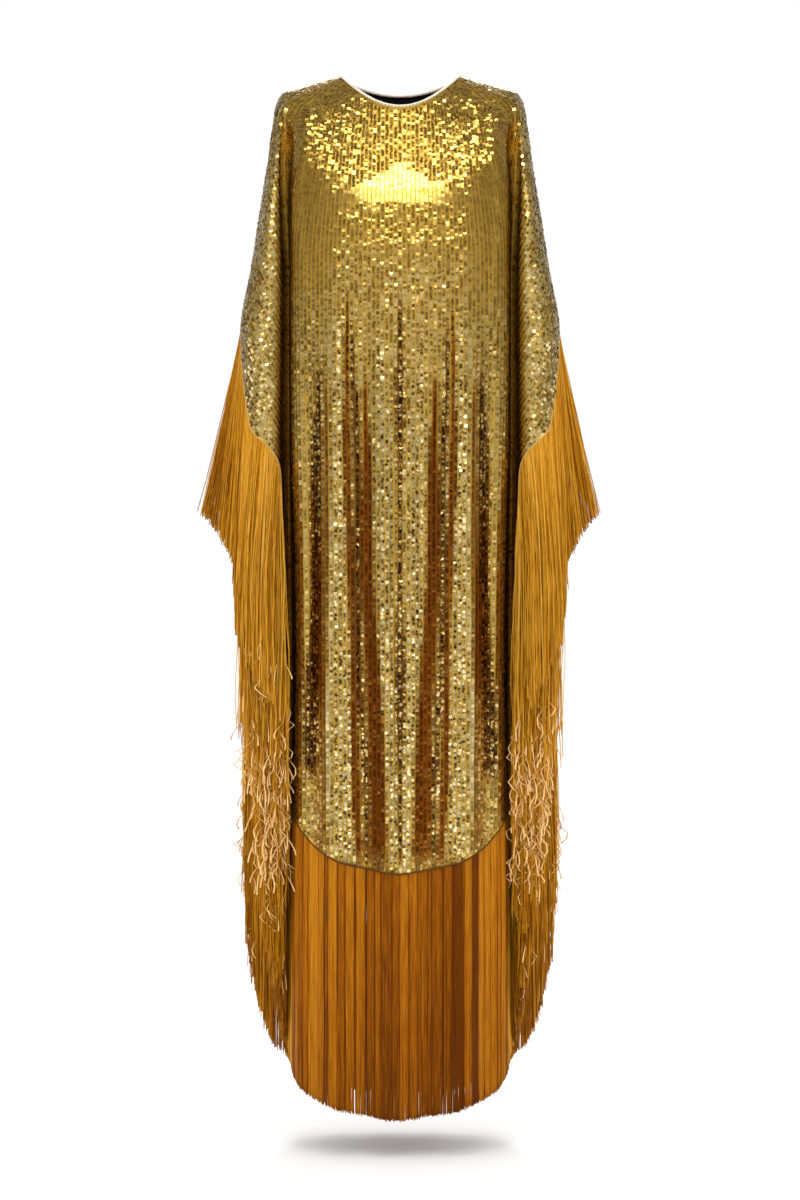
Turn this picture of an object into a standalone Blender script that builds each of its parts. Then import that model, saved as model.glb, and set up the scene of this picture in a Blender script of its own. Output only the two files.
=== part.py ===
"""Long sequin kaftan with a deep fringe, hollow and in its worn shape.

The front and the back are each one wall of cloth. A wall is a surface of two numbers:
`share` runs round the garment, 0 at the middle of the front or back, 0.6 at the side seam
and 1 at the line over the arm, negative on the wearer's right side; `drop` runs down from
the neck edge, in metres along the middle of the front. Both are held between the short
tables below. The neck sides lie at height zero, +Z is up and the front faces -Y.
"""
import bmesh
import bpy
import numpy as np

# Cloth and seams, metres.
WALL = 0.0013
SEAM_GAP = 0.0003

# Rows of the wall: drops down to the chest, then shares of what is left to the edge.
CHEST_ROWS = (0.004, 0.045, 0.085, 0.112, 0.130, 0.148, 0.168, 0.185, 0.202, 0.214, 0.226, 0.238, 0.250)
LOWER_ROWS = (0.15, 0.34, 0.60, 1.0)
PROBE = 0.0004
SHARP_ANGLE = 50

# Width of the flap beside the side seam, from the seam to its lip.
FLAP_WIDTH = 0.085

# Rings round the neck, shoulders and chest, one row for each. Depths are from the shoulder line.
RING_COLUMNS = "drop half_width side_z front_y front_z back_y back_z square"
RINGS = (
    (0.000, 0.0910, 0.0000, 0.086, -0.058, 0.058, -0.020, 2.00),
    (0.045, 0.1180, -0.0080, 0.100, -0.101, 0.078, -0.045, 2.10),
    (0.085, 0.1480, -0.0165, 0.113, -0.139, 0.092, -0.080, 2.20),
    (0.120, 0.1720, -0.0245, 0.125, -0.172, 0.100, -0.115, 2.30),
    (0.145, 0.1840, -0.0420, 0.133, -0.196, 0.104, -0.145, 2.40),
    (0.168, 0.1905, -0.0800, 0.136, -0.219, 0.106, -0.180, 2.45),
    (0.200, 0.2010, -0.1470, 0.137, -0.250, 0.107, -0.225, 2.50),
    (0.250, 0.2245, -0.3000, 0.136, -0.300, 0.106, -0.300, 2.55),
)
RING_END = 0.250
RING_END_Z = -0.300
VALLEY_START = 0.115

# Level sections below the chest, one row for each height. A y is a depth, an x a half width.
LEVEL_COLUMNS = "z centre_y corner_x corner_y lip_x lip_y seam_x turn fold_in fold_y arm_x"
FRONT_LEVELS = (
    (-0.30, 0.136, 0.153, 0.113, 0.1645, 0.082, 0.1675, 90, 0.0150, 0.088, 0.2250),
    (-0.38, 0.135, 0.154, 0.112, 0.1645, 0.080, 0.1675, 90, 0.0160, 0.088, 0.2385),
    (-0.54, 0.133, 0.154, 0.110, 0.1640, 0.076, 0.1675, 89, 0.0190, 0.088, 0.2410),
    (-0.70, 0.131, 0.150, 0.108, 0.1600, 0.068, 0.1665, 90, 0.0190, 0.086, 0.2410),
    (-0.90, 0.130, 0.148, 0.105, 0.1580, 0.062, 0.1655, 91, 0.0190, 0.086, 0.2410),
    (-1.20, 0.131, 0.153, 0.101, 0.1600, 0.055, 0.1670, 97, 0.0190, 0.086, 0.2410),
)
BACK_LEVELS = (
    (-0.30, 0.106, 0.153, 0.090, 0.1645, 0.062, 0.1675, 88, 0.0150, 0.076, 0.2250),
    (-0.38, 0.105, 0.154, 0.090, 0.1645, 0.060, 0.1675, 86, 0.0160, 0.076, 0.2385),
    (-0.54, 0.105, 0.154, 0.091, 0.1640, 0.058, 0.1675, 78, 0.0190, 0.076, 0.2410),
    (-0.70, 0.107, 0.153, 0.093, 0.1620, 0.058, 0.1675, 62, 0.0190, 0.076, 0.2410),
    (-0.90, 0.110, 0.153, 0.094, 0.1610, 0.058, 0.1685, 44, 0.0190, 0.076, 0.2410),
    (-1.20, 0.114, 0.153, 0.094, 0.1610, 0.056, 0.1690, 42, 0.0190, 0.076, 0.2410),
)
# Stations round a half: middle, between, corner, lip, flank, seam, flap's root, flap, flap's lip,
# sleeve front, fold, outer sleeve, arm. The angle is where each lies on the rings above.
STATION_SHARE = (0.0, 0.20, 0.38, 0.48, 0.56, 0.60, 0.62, 0.66, 0.70, 0.75, 0.80, 0.90, 1.0)
STATION_ANGLE = (0.0, 22.0, 41.0, 50.0, 56.0, 60.0, 63.0, 65.5, 67.5, 71.0, 75.0, 82.0, 90.0)
FRONT_ROUNDNESS = 2.4
# The turn at the side seam: how far its flanks stand from it, and how far in they start.
TURN_HALF = 0.0052
TURN_IN = 0.0120
FLAP_ROOT = 0.015
# The sleeve: how its front runs on from the flap's lip, and how its outer side rounds.
SLEEVE_RUN = 0.4
SLEEVE_LIFT = 0.004
OUTER_ROUND = 0.15
OUTER_HALF = 0.5
# The folds of the body fade out over these shares.
FOLDS_END = 0.36
FOLDS_FADE = 0.14
HEM_LEVEL = -1.19
FOLD_START = 0.45

# The free edge, from the middle of the hem round to the top of the cuff.
EDGE_COLUMNS = "share front_z back_z"
EDGE = (
    (0.000, -1.187, -1.190),
    (0.200, -1.172, -1.178),
    (0.310, -1.150, -1.158),
    (0.385, -1.128, -1.138),
    (0.420, -1.114, -1.126),
    (0.520, -1.098, -1.110),
    (0.600, -1.080, -1.092),
    (0.630, -1.068, -1.074),
    (0.656, -1.040, -1.040),
    (0.674, -0.985, -0.980),
    (0.686, -0.900, -0.895),
    (0.693, -0.790, -0.785),
    (0.697, -0.690, -0.685),
    (0.702, -0.600, -0.610),
    (0.730, -0.572, -0.580),
    (0.800, -0.535, -0.540),
    (0.880, -0.445, -0.450),
    (0.950, -0.392, -0.394),
    (1.000, -0.380, -0.380),
)

# Long folds below the chest, one row for each: a minus depth is a trough.
FOLD_COLUMNS = "top_x hem_x top_z half_width hem_half_width depth"
FRONT_FOLDS = (
    (-0.130, -0.128, -0.34, 0.011, 0.013, -0.007),
    (-0.096, -0.098, -0.28, 0.016, 0.020, 0.008),
    (-0.050, -0.051, -0.30, 0.011, 0.018, -0.012),
    (-0.020, -0.022, -0.40, 0.012, 0.014, 0.006),
    (0.004, 0.002, -0.45, 0.010, 0.012, -0.005),
    (0.028, 0.040, -0.36, 0.011, 0.017, -0.011),
    (0.060, 0.066, -0.30, 0.010, 0.010, -0.004),
    (0.098, 0.100, -0.28, 0.016, 0.019, 0.008),
    (0.129, 0.128, -0.34, 0.011, 0.013, -0.007),
)
BACK_FOLDS = (
    (-0.126, -0.122, -0.30, 0.012, 0.014, -0.007),
    (-0.088, -0.092, -0.24, 0.015, 0.020, 0.008),
    (-0.050, -0.058, -0.28, 0.012, 0.018, -0.011),
    (-0.018, -0.020, -0.34, 0.013, 0.015, 0.006),
    (0.016, 0.010, -0.28, 0.012, 0.017, -0.010),
    (0.044, 0.046, -0.40, 0.012, 0.014, 0.006),
    (0.078, 0.080, -0.30, 0.012, 0.017, -0.010),
    (0.106, 0.108, -0.26, 0.013, 0.016, 0.006),
    (0.130, 0.132, -0.34, 0.010, 0.012, -0.006),
)

# Columns of the wall over half of the garment: (share they run to, how many).
COLUMN_RUNS = ((0.42, 9), (0.56, 3), (0.60, 2), (0.67, 5), (0.709, 6), (0.76, 4), (1.0, 6))

# Fringe trim: the strip along the edge, and the strands below it, a pitch apart along the edge
# but sparser beside the flaps. A strand keeps TIP_TAPER of its width. It leans out all the way
# to `settle` of its length, and faster at first where `early` is more than 0.
STRIP_DEPTH = 0.008
STRIP_GAP = 0.0008
STRAND_PITCH = 0.0215
STRAND_ROOT = 0.011
TIP_TAPER = 0.6
HEM_SHARE = 0.46
SIDE_SHARE = 0.64
HALF_STEPS = 4001
FLAP_FROM = 0.655
FLAP_TO = 0.702
FLAP_SPARSE = 0.5
HEM_RINGS = (0.15, 1.0)
SIDE_RINGS = (0.10, 0.30, 1.0)
FRINGE_COLUMNS = "share length outward forward settle early width thick"
FRONT_FRINGE = (
    (0.000, 0.358, 0.000, 0.002, 0.20, 0.6, 0.0110, 0.0016),
    (0.250, 0.362, 0.000, 0.002, 0.20, 0.6, 0.0110, 0.0016),
    (0.420, 0.378, 0.001, 0.002, 0.20, 0.6, 0.0110, 0.0016),
    (0.600, 0.370, 0.004, 0.002, 0.20, 0.6, 0.0060, 0.0016),
    (0.650, 0.370, 0.008, 0.002, 0.40, 0.6, 0.0034, 0.0020),
    (0.690, 0.365, 0.026, 0.012, 0.40, 0.6, 0.0034, 0.0020),
    (0.701, 0.358, 0.046, 0.022, 0.40, 0.6, 0.0034, 0.0020),
    (0.715, 0.350, 0.016, 0.038, 0.50, 0.5, 0.0060, 0.0016),
    (0.760, 0.350, 0.012, 0.034, 0.60, 0.4, 0.0070, 0.0016),
    (0.800, 0.318, 0.0150, 0.026, 0.80, 0.2, 0.0048, 0.0016),
    (0.840, 0.320, 0.0130, 0.017, 0.90, 0.1, 0.0044, 0.0016),
    (0.880, 0.292, 0.0130, 0.008, 1.00, 0.0, 0.0048, 0.0016),
    (0.920, 0.292, 0.027, 0.007, 1.00, -0.1, 0.0080, 0.0016),
    (0.960, 0.288, 0.045, 0.004, 1.00, -0.1, 0.0080, 0.0016),
    (1.000, 0.280, 0.064, 0.002, 1.00, -0.1, 0.0080, 0.0016),
)
BACK_FRINGE = (
    (0.000, 0.352, 0.000, 0.002, 0.20, 0.6, 0.0110, 0.0016),
    (0.250, 0.358, 0.000, 0.002, 0.20, 0.6, 0.0110, 0.0016),
    (0.420, 0.376, 0.001, 0.002, 0.20, 0.6, 0.0110, 0.0016),
    (0.600, 0.372, 0.004, 0.002, 0.20, 0.6, 0.0060, 0.0016),
    (0.650, 0.372, 0.004, 0.004, 0.40, 0.6, 0.0034, 0.0020),
    (0.690, 0.362, 0.010, 0.020, 0.40, 0.6, 0.0034, 0.0020),
    (0.701, 0.352, 0.001, 0.042, 0.40, 0.6, 0.0034, 0.0020),
    (0.715, 0.348, 0.012, 0.042, 0.50, 0.5, 0.0060, 0.0016),
    (0.760, 0.345, 0.012, 0.036, 0.60, 0.4, 0.0070, 0.0016),
    (0.800, 0.312, 0.0150, 0.026, 0.80, 0.2, 0.0048, 0.0016),
    (0.840, 0.316, 0.0145, 0.017, 0.90, 0.1, 0.0044, 0.0016),
    (0.880, 0.290, 0.0155, 0.008, 1.00, 0.0, 0.0048, 0.0016),
    (0.920, 0.290, 0.029, 0.007, 1.00, -0.1, 0.0080, 0.0016),
    (0.960, 0.287, 0.046, 0.004, 1.00, -0.1, 0.0080, 0.0016),
    (1.000, 0.280, 0.062, 0.002, 1.00, -0.1, 0.0080, 0.0016),
)

# Neck binding: a flat oval cord of satin over the neck edge.
BINDING_WIDE = 0.0050
BINDING_THICK = 0.0042
BINDING_LIFT = 0.0006
BINDING_RISE = 0.030
BINDING_STEPS = 48
BINDING_SIDES = 6


def columns(names, rows):
    """Turn a table's rows into one array for each named column."""
    values = np.array(rows, dtype=float).T
    return dict(zip(names.split(), values))


def smooth(keys, values, at):
    """Read a curve at `at`: a cubic through each key that never swings past its values."""
    keys = np.asarray(keys, dtype=float)
    values = np.asarray(values, dtype=float)
    at = np.asarray(at, dtype=float)
    if values.ndim == 1:
        values = np.broadcast_to(values.reshape((-1,) + (1,) * at.ndim), (len(keys),) + at.shape)
    steps = np.diff(keys).reshape((-1,) + (1,) * at.ndim)
    rise = np.diff(values, axis=0) / steps
    product = rise[:-1] * rise[1:]
    total = rise[:-1] + rise[1:]
    inner = np.where(product > 0, 2 * product / np.where(total == 0, 1, total), 0)
    slope = np.concatenate([rise[:1], inner, rise[-1:]])
    cell = np.clip(np.searchsorted(keys, at, side="right") - 1, 0, len(keys) - 2)
    width = keys[cell + 1] - keys[cell]
    t = (at - keys[cell]) / width
    low = np.take_along_axis(values, cell[None], 0)[0]
    high = np.take_along_axis(values, cell[None] + 1, 0)[0]
    slope_low = np.take_along_axis(slope, cell[None], 0)[0]
    slope_high = np.take_along_axis(slope, cell[None] + 1, 0)[0]
    bend_low = t * (1 - t) ** 2 * slope_low * width
    bend_high = t ** 2 * (t - 1) * slope_high * width
    return low + (high - low) * t ** 2 * (3 - 2 * t) + bend_low + bend_high


def ease(t):
    """Go from 0 to 1 with a level start and end."""
    t = np.clip(t, 0, 1)
    return t * t * (3 - 2 * t)


def ring_form(share, drop, face):
    """Points of the neck, shoulder and chest rings: squared ovals that dip in the middle."""
    table = columns(RING_COLUMNS, RINGS)
    side = "front" if face < 0 else "back"
    held = np.clip(drop, -0.02, RING_END)
    below = np.maximum(drop - RING_END, 0)
    wide = smooth(table["drop"], table["half_width"], held)
    deep = smooth(table["drop"], table[side + "_y"], held)
    side_z = smooth(table["drop"], table["side_z"], held)
    middle_z = smooth(table["drop"], table[side + "_z"], held)
    power = 2 / smooth(table["drop"], table["square"], held)
    angle = np.radians(smooth(STATION_SHARE, STATION_ANGLE, share))
    x = wide * np.sin(angle) ** power
    y = deep * np.clip(np.cos(angle), 0, 1) ** power
    z = side_z + (middle_z - side_z) * np.cos(angle) ** 2 - below
    return x, y, z


def round_through(xs, shares, at):
    """Cubic spline that rounds the corners of the polygon of stations, read at shares `at`."""
    xs = np.stack(xs)
    t = np.interp(at, shares, np.arange(len(shares)))
    cell = np.clip(np.floor(t).astype(int), 0, len(shares) - 2)
    u = t - cell
    weights = ((1 - u) ** 3, 3 * u ** 3 - 6 * u ** 2 + 4, 1 + 3 * u + 3 * u ** 2 - 3 * u ** 3, u ** 3)
    return sum(weight / 6 * np.take_along_axis(xs, cell[None] + step, 0)[0]
               for step, weight in enumerate(weights))


def level_form(share, drop, face):
    """Points of the level sections: body, side seam, the flap beside it, and the sleeve."""
    table = columns(LEVEL_COLUMNS, FRONT_LEVELS if face < 0 else BACK_LEVELS)
    z = np.clip(RING_END_Z - (drop - RING_END), -1.2, RING_END_Z)
    row = {name: smooth(-table["z"], table[name], -z) for name in table}
    rings = columns(RING_COLUMNS, RINGS)
    arm_x = np.where(drop < RING_END,
                     smooth(rings["drop"], rings["half_width"], np.clip(drop, 0, RING_END)),
                     row["arm_x"])
    turn = np.radians(row["turn"])
    centre_y, corner_x, corner_y = row["centre_y"], row["corner_x"], row["corner_y"]
    seam_x, fold_x, fold_y = row["seam_x"], arm_x - row["fold_in"], row["fold_y"]
    between = STATION_SHARE[1] / STATION_SHARE[2]
    between_y = centre_y - (centre_y - corner_y) * between ** FRONT_ROUNDNESS
    flap_x = seam_x + TURN_HALF
    turn_y = (3 * WALL - TURN_IN - FLAP_ROOT * np.sin(turn)) / 4
    flap = [(flap_x + width * np.cos(turn), width * np.sin(turn))
            for width in (FLAP_ROOT, FLAP_WIDTH / 2, FLAP_WIDTH)]
    lip_x, lip_y = flap[-1]
    outer_x = arm_x - OUTER_ROUND * row["fold_in"]
    outer_y = OUTER_HALF * fold_y
    sleeve_x = lip_x + SLEEVE_RUN * (fold_x - lip_x)
    stations = [(-between * corner_x, between_y), (0 * z, centre_y), (between * corner_x, between_y),
                (corner_x, corner_y), (row["lip_x"], row["lip_y"]),
                (seam_x - TURN_HALF, TURN_IN + 0 * z), (seam_x, turn_y), *flap,
                (sleeve_x, np.maximum(lip_y, fold_y) + SLEEVE_LIFT),
                (fold_x, fold_y), (outer_x, outer_y), (arm_x, 0 * z), (outer_x, -outer_y)]
    xs, ys = zip(*stations)
    return round_through(xs, STATION_SHARE, share), round_through(ys, STATION_SHARE, share)


def fold_push(x, z, face):
    """Outward push of the long folds: each is a bell across x that grows towards the hem."""
    table = columns(FOLD_COLUMNS, FRONT_FOLDS if face < 0 else BACK_FOLDS)
    push = 0 * x
    for top_x, hem_x, top_z, narrow, wide, depth in zip(*table.values()):
        down = np.clip((top_z - z) / (top_z - HEM_LEVEL), 0, 1)
        middle = top_x + (hem_x - top_x) * down
        width = narrow + (wide - narrow) * down
        grown = ease(3 * down) * (FOLD_START + (1 - FOLD_START) * down)
        push = push + depth * grown * np.exp(-((x - middle) / width) ** 2)
    return push


def cloth(share, drop, face):
    """The middle of the wall at (share, drop): chest rings easing into level sections."""
    share, drop = np.broadcast_arrays(np.asarray(share, float), np.asarray(drop, float))
    side = np.where(share < 0, -1.0, 1.0)
    across = np.clip(np.abs(share), 0, 1)
    ring_x, ring_y, z = ring_form(across, drop, face)
    level_x, level_y = level_form(across, drop, face)
    weight = ease((drop - VALLEY_START) / (RING_END - VALLEY_START))
    x = side * (ring_x + (level_x - ring_x) * weight)
    y = ring_y + (level_y - ring_y) * weight
    on_body = 1 - ease((across - FOLDS_END) / FOLDS_FADE)
    y = y + fold_push(x, z, face) * on_body
    return np.stack([x, face * (y + SEAM_GAP / 2), z], axis=-1)


def across_wall(share, drop, face):
    """Unit vector out of the cloth, from the slopes of the surface on both sides."""
    low, high = np.clip(share - PROBE, -1, 1), np.clip(share + PROBE, -1, 1)
    along = cloth(high, drop, face) - cloth(low, drop, face)
    down = cloth(share, drop + PROBE, face) - cloth(share, drop - PROBE, face)
    normal = np.cross(along, down) * face
    normal[..., 1] = np.where(np.abs(share) > 1 - 1e-6, 0, normal[..., 1])
    return normal / np.linalg.norm(normal, axis=-1, keepdims=True)


def edge_drop(share, face):
    """Drop of the free edge at each share."""
    table = columns(EDGE_COLUMNS, EDGE)
    z = smooth(table["share"], table["front_z" if face < 0 else "back_z"], np.abs(share))
    return RING_END + (RING_END_Z - z)


def edge_slope(share, face):
    """Level run and fall of the free edge, in metres for each unit of share."""
    low, high = np.clip(share - PROBE, -1, 1), np.clip(share + PROBE, -1, 1)
    drop = edge_drop(share, face)
    run = np.linalg.norm(cloth(high, drop, face) - cloth(low, drop, face), axis=-1) / (high - low)
    fall = (edge_drop(high, face) - edge_drop(low, face)) / (high - low)
    return run, fall


def edge_inset(share, face, inset):
    """(share, drop) of the line that runs inside the free edge, square to it by `inset`."""
    run, fall = edge_slope(share, face)
    length = np.hypot(run, fall)
    return share + inset * fall / length / run, edge_drop(share, face) - inset * run / length


def rim_line(face):
    """(edge share, share, drop, length gone) along half of the line where the wall ends."""
    fine = np.linspace(0, 1, HALF_STEPS)
    share, drop = edge_inset(fine, face, STRIP_DEPTH + STRIP_GAP)
    share = np.maximum.accumulate(np.clip(share, 0, 1))
    share[-1] = 1.0
    steps = np.linalg.norm(np.diff(cloth(share, drop, face), axis=0), axis=1)
    return fine, share, drop, np.concatenate([[0], np.cumsum(steps)])


def wall_columns(face):
    """(share, drop, length gone) of the wall's columns where they end."""
    _, shares, drops, gone = rim_line(face)
    lengths = [0.0]
    for end, count in COLUMN_RUNS:
        stop = np.interp(end, shares, gone)
        lengths.extend(np.linspace(lengths[-1], stop, count + 1)[1:])
    half = np.array(lengths)
    share, drop = np.interp(half, gone, shares), np.interp(half, gone, drops)
    mirrored = [(-share[:0:-1], share), (drop[:0:-1], drop), (-half[:0:-1], half)]
    return [np.concatenate(pair) for pair in mirrored]


def both_sides(share, drop, face):
    """Points of the wall's outer and inner side."""
    middle = cloth(share, drop, face)
    half_wall = across_wall(share, drop, face) * WALL / 2
    return middle + half_wall, middle - half_wall


def along_rim(lengths, rim, at):
    """Points on the straight runs between a rim's points."""
    return np.stack([np.interp(at, lengths, rim[:, axis]) for axis in range(3)], axis=-1)


def make_object(name, points, faces, finish):
    """Add one closed mesh with its own material, faces turned outwards."""
    mesh = bpy.data.meshes.new(name)
    mesh.from_pydata([tuple(point) for point in points], [], faces)
    shape = bmesh.new()
    shape.from_mesh(mesh)
    bmesh.ops.recalc_face_normals(shape, faces=shape.faces)
    if shape.calc_volume(signed=True) < 0:
        bmesh.ops.reverse_faces(shape, faces=shape.faces)
    shape.to_mesh(mesh)
    shape.free()
    mesh.shade_smooth()
    mesh.set_sharp_from_angle(angle=np.radians(SHARP_ANGLE))
    piece = bpy.data.objects.new(name, mesh)
    bpy.context.collection.objects.link(piece)
    colour, rough, metal = finish
    material = bpy.data.materials.new(name)
    material.use_nodes = True
    shader = material.node_tree.nodes["Principled BSDF"]
    shader.inputs["Base Color"].default_value = (*colour, 1)
    shader.inputs["Roughness"].default_value = rough
    shader.inputs["Metallic"].default_value = metal
    mesh.materials.append(material)
    return piece


def add_panel(name, face, finish):
    """A cloth wall: the surface moved out and in by half its thickness, closed at the rims."""
    share, bottom, _ = wall_columns(face)
    chest = np.repeat(np.array(CHEST_ROWS)[:, None], len(share), axis=1)
    lower = RING_END + (bottom - RING_END)[None, :] * np.array(LOWER_ROWS)[:, None]
    drop = np.concatenate([chest, lower])
    share = np.broadcast_to(share, drop.shape)
    outer, inner = both_sides(share, drop, face)
    rows, wide = drop.shape
    count = rows * wide
    faces = []
    for row in range(rows - 1):
        for column in range(wide - 1):
            first = row * wide + column
            below = first + wide
            halves = (first, first + 1, below), (first + 1, below + 1, below)
            if column < wide // 2:
                halves = (first, first + 1, below + 1), (first, below + 1, below)
            for half in halves:
                faces.append(half)
                faces.append(tuple(index + count for index in reversed(half)))
    last = (rows - 1) * wide
    rim = [*range(wide), *range(2 * wide - 1, count, wide)]
    rim += [*range(count - 2, last - 1, -1), *range(last - wide, 0, -wide)]
    for here, there in zip(rim, rim[1:] + rim[:1]):
        faces.append((there, here, here + count, there + count))
    points = np.concatenate([outer.reshape(-1, 3), inner.reshape(-1, 3)])
    return make_object(name, points, faces, finish)


def trim_stops(start, end, face):
    """Shares along the edge: a strand's root runs from each odd stop to the next."""
    fine = np.linspace(start, end, HALF_STEPS)
    path = cloth(fine, edge_drop(fine, face), face)
    middle = np.abs(fine[1:] + fine[:-1]) / 2
    sparse = np.where((middle > FLAP_FROM) & (middle < FLAP_TO), FLAP_SPARSE, 1)
    gone = np.cumsum(np.linalg.norm(np.diff(path, axis=0), axis=1) * sparse)
    gone = np.concatenate([[0], gone])
    count = int(round(gone[-1] / STRAND_PITCH))
    middles = (np.arange(count) + 0.5) * gone[-1] / count
    roots = np.stack([middles - STRAND_ROOT / 2, middles + STRAND_ROOT / 2], axis=1)
    stops = np.concatenate([[0], roots.reshape(-1), gone[-1:]])
    return np.interp(stops, gone, fine)


def strand_rings(share, face):
    """Corners of one strand's three lower rings, from the root's middle down to the tip."""
    table = columns(FRINGE_COLUMNS, FRONT_FRINGE if face < 0 else BACK_FRINGE)
    across = abs(share)
    side = 1.0 if share >= 0 else -1.0
    row = {name: float(smooth(table["share"], table[name], across)) for name in table}
    root = cloth(share, edge_drop(share, face), face)
    low, high = max(share - PROBE, -1), min(share + PROBE, 1)
    level = cloth(high, edge_drop(share, face), face) - cloth(low, edge_drop(share, face), face)
    level[2] = 0
    level = level / np.linalg.norm(level)
    outward = row["outward"]
    lean = np.array([side * outward, face * row["forward"], 0.0])
    fall = np.sqrt(row["length"] ** 2 - outward ** 2 - row["forward"] ** 2)
    rings = []
    for part in HEM_RINGS if across < HEM_SHARE else SIDE_RINGS:
        moved = min(part / row["settle"], 1.0)
        middle = root + lean * moved * (1 + row["early"] * (1 - moved)) + np.array([0, 0, -fall * part])
        thin = 1 - (1 - TIP_TAPER) * part
        aside = level * row["width"] / 2 * thin
        out = face * np.cross([0, 0, 1.0], level) * row["thick"] / 2
        rings.append([middle - aside + out, middle + aside + out,
                      middle + aside - out, middle - aside - out])
    return rings


def add_fringe(name, start, end, face, finish):
    """A narrow strip along the cloth's edge; every second stretch of it runs down as a strand."""
    stops = trim_stops(start, end, face)
    fine, _, _, gone = rim_line(face)
    at = np.sign(stops) * np.interp(np.abs(stops), fine, gone)
    shares, drops, lengths = wall_columns(face)
    rims = [along_rim(lengths, rim, at) for rim in both_sides(shares, drops, face)]
    edges = both_sides(stops, edge_drop(stops, face), face)
    apart = sum(edges) - sum(rims)
    apart = apart / np.linalg.norm(apart, axis=-1, keepdims=True) * STRIP_GAP
    corners = [rims[0] + apart, rims[1] + apart, *edges]
    points = np.stack(corners, axis=1).reshape(-1, 3).tolist()
    faces = [(0, 1, 3, 2)]
    for stop in range(len(stops) - 1):
        here, there = 4 * stop, 4 * stop + 4
        faces.append((here, there, there + 1, here + 1))
        faces.append((here + 2, there + 2, there, here))
        faces.append((here + 1, there + 1, there + 3, here + 3))
        root = [here + 2, there + 2, there + 3, here + 3]
        if stop % 2 == 0:
            faces.append(tuple(reversed(root)))
            continue
        middle = (stops[stop] + stops[stop + 1]) / 2
        for ring in strand_rings(middle, face):
            base = len(points)
            points.extend(ring)
            lower = [base, base + 1, base + 2, base + 3]
            for side in range(4):
                after = (side + 1) % 4
                faces.append((root[side], root[after], lower[after], lower[side]))
            root = lower
        faces.append(tuple(root))
    last = 4 * (len(stops) - 1)
    faces.append((last + 2, last + 3, last + 1, last))
    return make_object(name, points, faces, finish)


def neck_line(steps):
    """Closed line round the neck edge: front from the wearer's right to left, then the back."""
    turn = np.linspace(0, 1, steps // 2 + 1)
    share = np.sin(np.pi * (turn - 0.5))
    front = cloth(share, 0.0, -1)
    back = cloth(-share, 0.0, 1)
    line = np.concatenate([front[:-1], back[:-1]])
    line[:, 1] = np.where(np.abs(line[:, 1]) < SEAM_GAP, 0, line[:, 1])
    return line


def add_binding(name, finish):
    """An oval section carried round the neck line, its long way up the slope of the cloth."""
    line = neck_line(BINDING_STEPS)
    ahead = np.roll(line, -1, axis=0) - np.roll(line, 1, axis=0)
    ahead = ahead / np.linalg.norm(ahead, axis=1, keepdims=True)
    inward = -line.copy()
    inward[:, 2] = BINDING_RISE
    inward = inward - ahead * np.sum(inward * ahead, axis=1, keepdims=True)
    inward = inward / np.linalg.norm(inward, axis=1, keepdims=True)
    upward = np.cross(ahead, inward)
    middle = line + inward * BINDING_LIFT
    turn = 2 * np.pi * np.arange(BINDING_SIDES) / BINDING_SIDES
    ring = (inward[:, None] * np.cos(turn)[None, :, None] * BINDING_WIDE / 2
            + upward[:, None] * np.sin(turn)[None, :, None] * BINDING_THICK / 2)
    points = (middle[:, None] + ring).reshape(-1, 3)
    steps = len(line)
    faces = []
    for step in range(steps):
        for side in range(BINDING_SIDES):
            after = (side + 1) % BINDING_SIDES
            here, there = step * BINDING_SIDES, (step + 1) % steps * BINDING_SIDES
            faces.append((here + side, there + side, there + after, here + after))
    return make_object(name, points, faces, finish)


def main():
    """Build every piece of the kaftan."""
    for old in list(bpy.data.objects):
        bpy.data.objects.remove(old)
    sequins = ((0.48, 0.30, 0.06), 0.35, 0.8)
    yarn = ((0.50, 0.24, 0.03), 0.5, 0.0)
    satin = ((0.80, 0.66, 0.52), 0.4, 0.0)
    add_panel("front_panel", -1, sequins)
    add_panel("back_panel", 1, sequins)
    add_binding("neck_binding", satin)
    for face, side in ((-1, "front"), (1, "back")):
        add_fringe(side + "_hem_fringe", -HEM_SHARE, HEM_SHARE, face, yarn)
        add_fringe(side + "_left_fringe", SIDE_SHARE, 1.0, face, yarn)
        add_fringe(side + "_right_fringe", -1.0, -SIDE_SHARE, face, yarn)


main()
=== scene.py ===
"""Gold sequin kaftan with a long silk fringe, in its worn shape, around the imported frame.

Each cloth wall is a surface of two numbers, as the solids are: `share` runs round the garment,
0 at the middle, 0.6 at the side seam and 1 at the line over the arm, negative on the wearer's
right side; `drop` runs down from the neck edge, in metres along the middle of the front.
Sequins, yarns, binding and braid are all placed by (share, drop), so they follow the cloth.
"""

import bpy
import numpy as np
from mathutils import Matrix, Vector


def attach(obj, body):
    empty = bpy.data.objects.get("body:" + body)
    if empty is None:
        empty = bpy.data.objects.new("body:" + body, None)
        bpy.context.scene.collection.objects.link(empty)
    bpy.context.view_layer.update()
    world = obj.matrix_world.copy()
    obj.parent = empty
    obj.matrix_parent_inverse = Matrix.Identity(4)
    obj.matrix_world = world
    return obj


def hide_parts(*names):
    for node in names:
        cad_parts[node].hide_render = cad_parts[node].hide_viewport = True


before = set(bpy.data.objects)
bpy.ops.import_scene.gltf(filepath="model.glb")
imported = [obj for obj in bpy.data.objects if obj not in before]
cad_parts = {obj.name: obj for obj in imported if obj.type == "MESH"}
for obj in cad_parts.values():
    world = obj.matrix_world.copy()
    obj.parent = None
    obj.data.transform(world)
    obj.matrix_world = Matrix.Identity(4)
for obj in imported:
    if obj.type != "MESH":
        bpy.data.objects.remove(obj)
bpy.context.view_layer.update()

rng = np.random.default_rng(41)

# Cloth and seams, metres.
WALL = 0.0013
SEAM_GAP = 0.0003
PROBE = 0.0004

# Width of the flap beside the side seam, from the seam to its lip.
FLAP_WIDTH = 0.085

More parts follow.
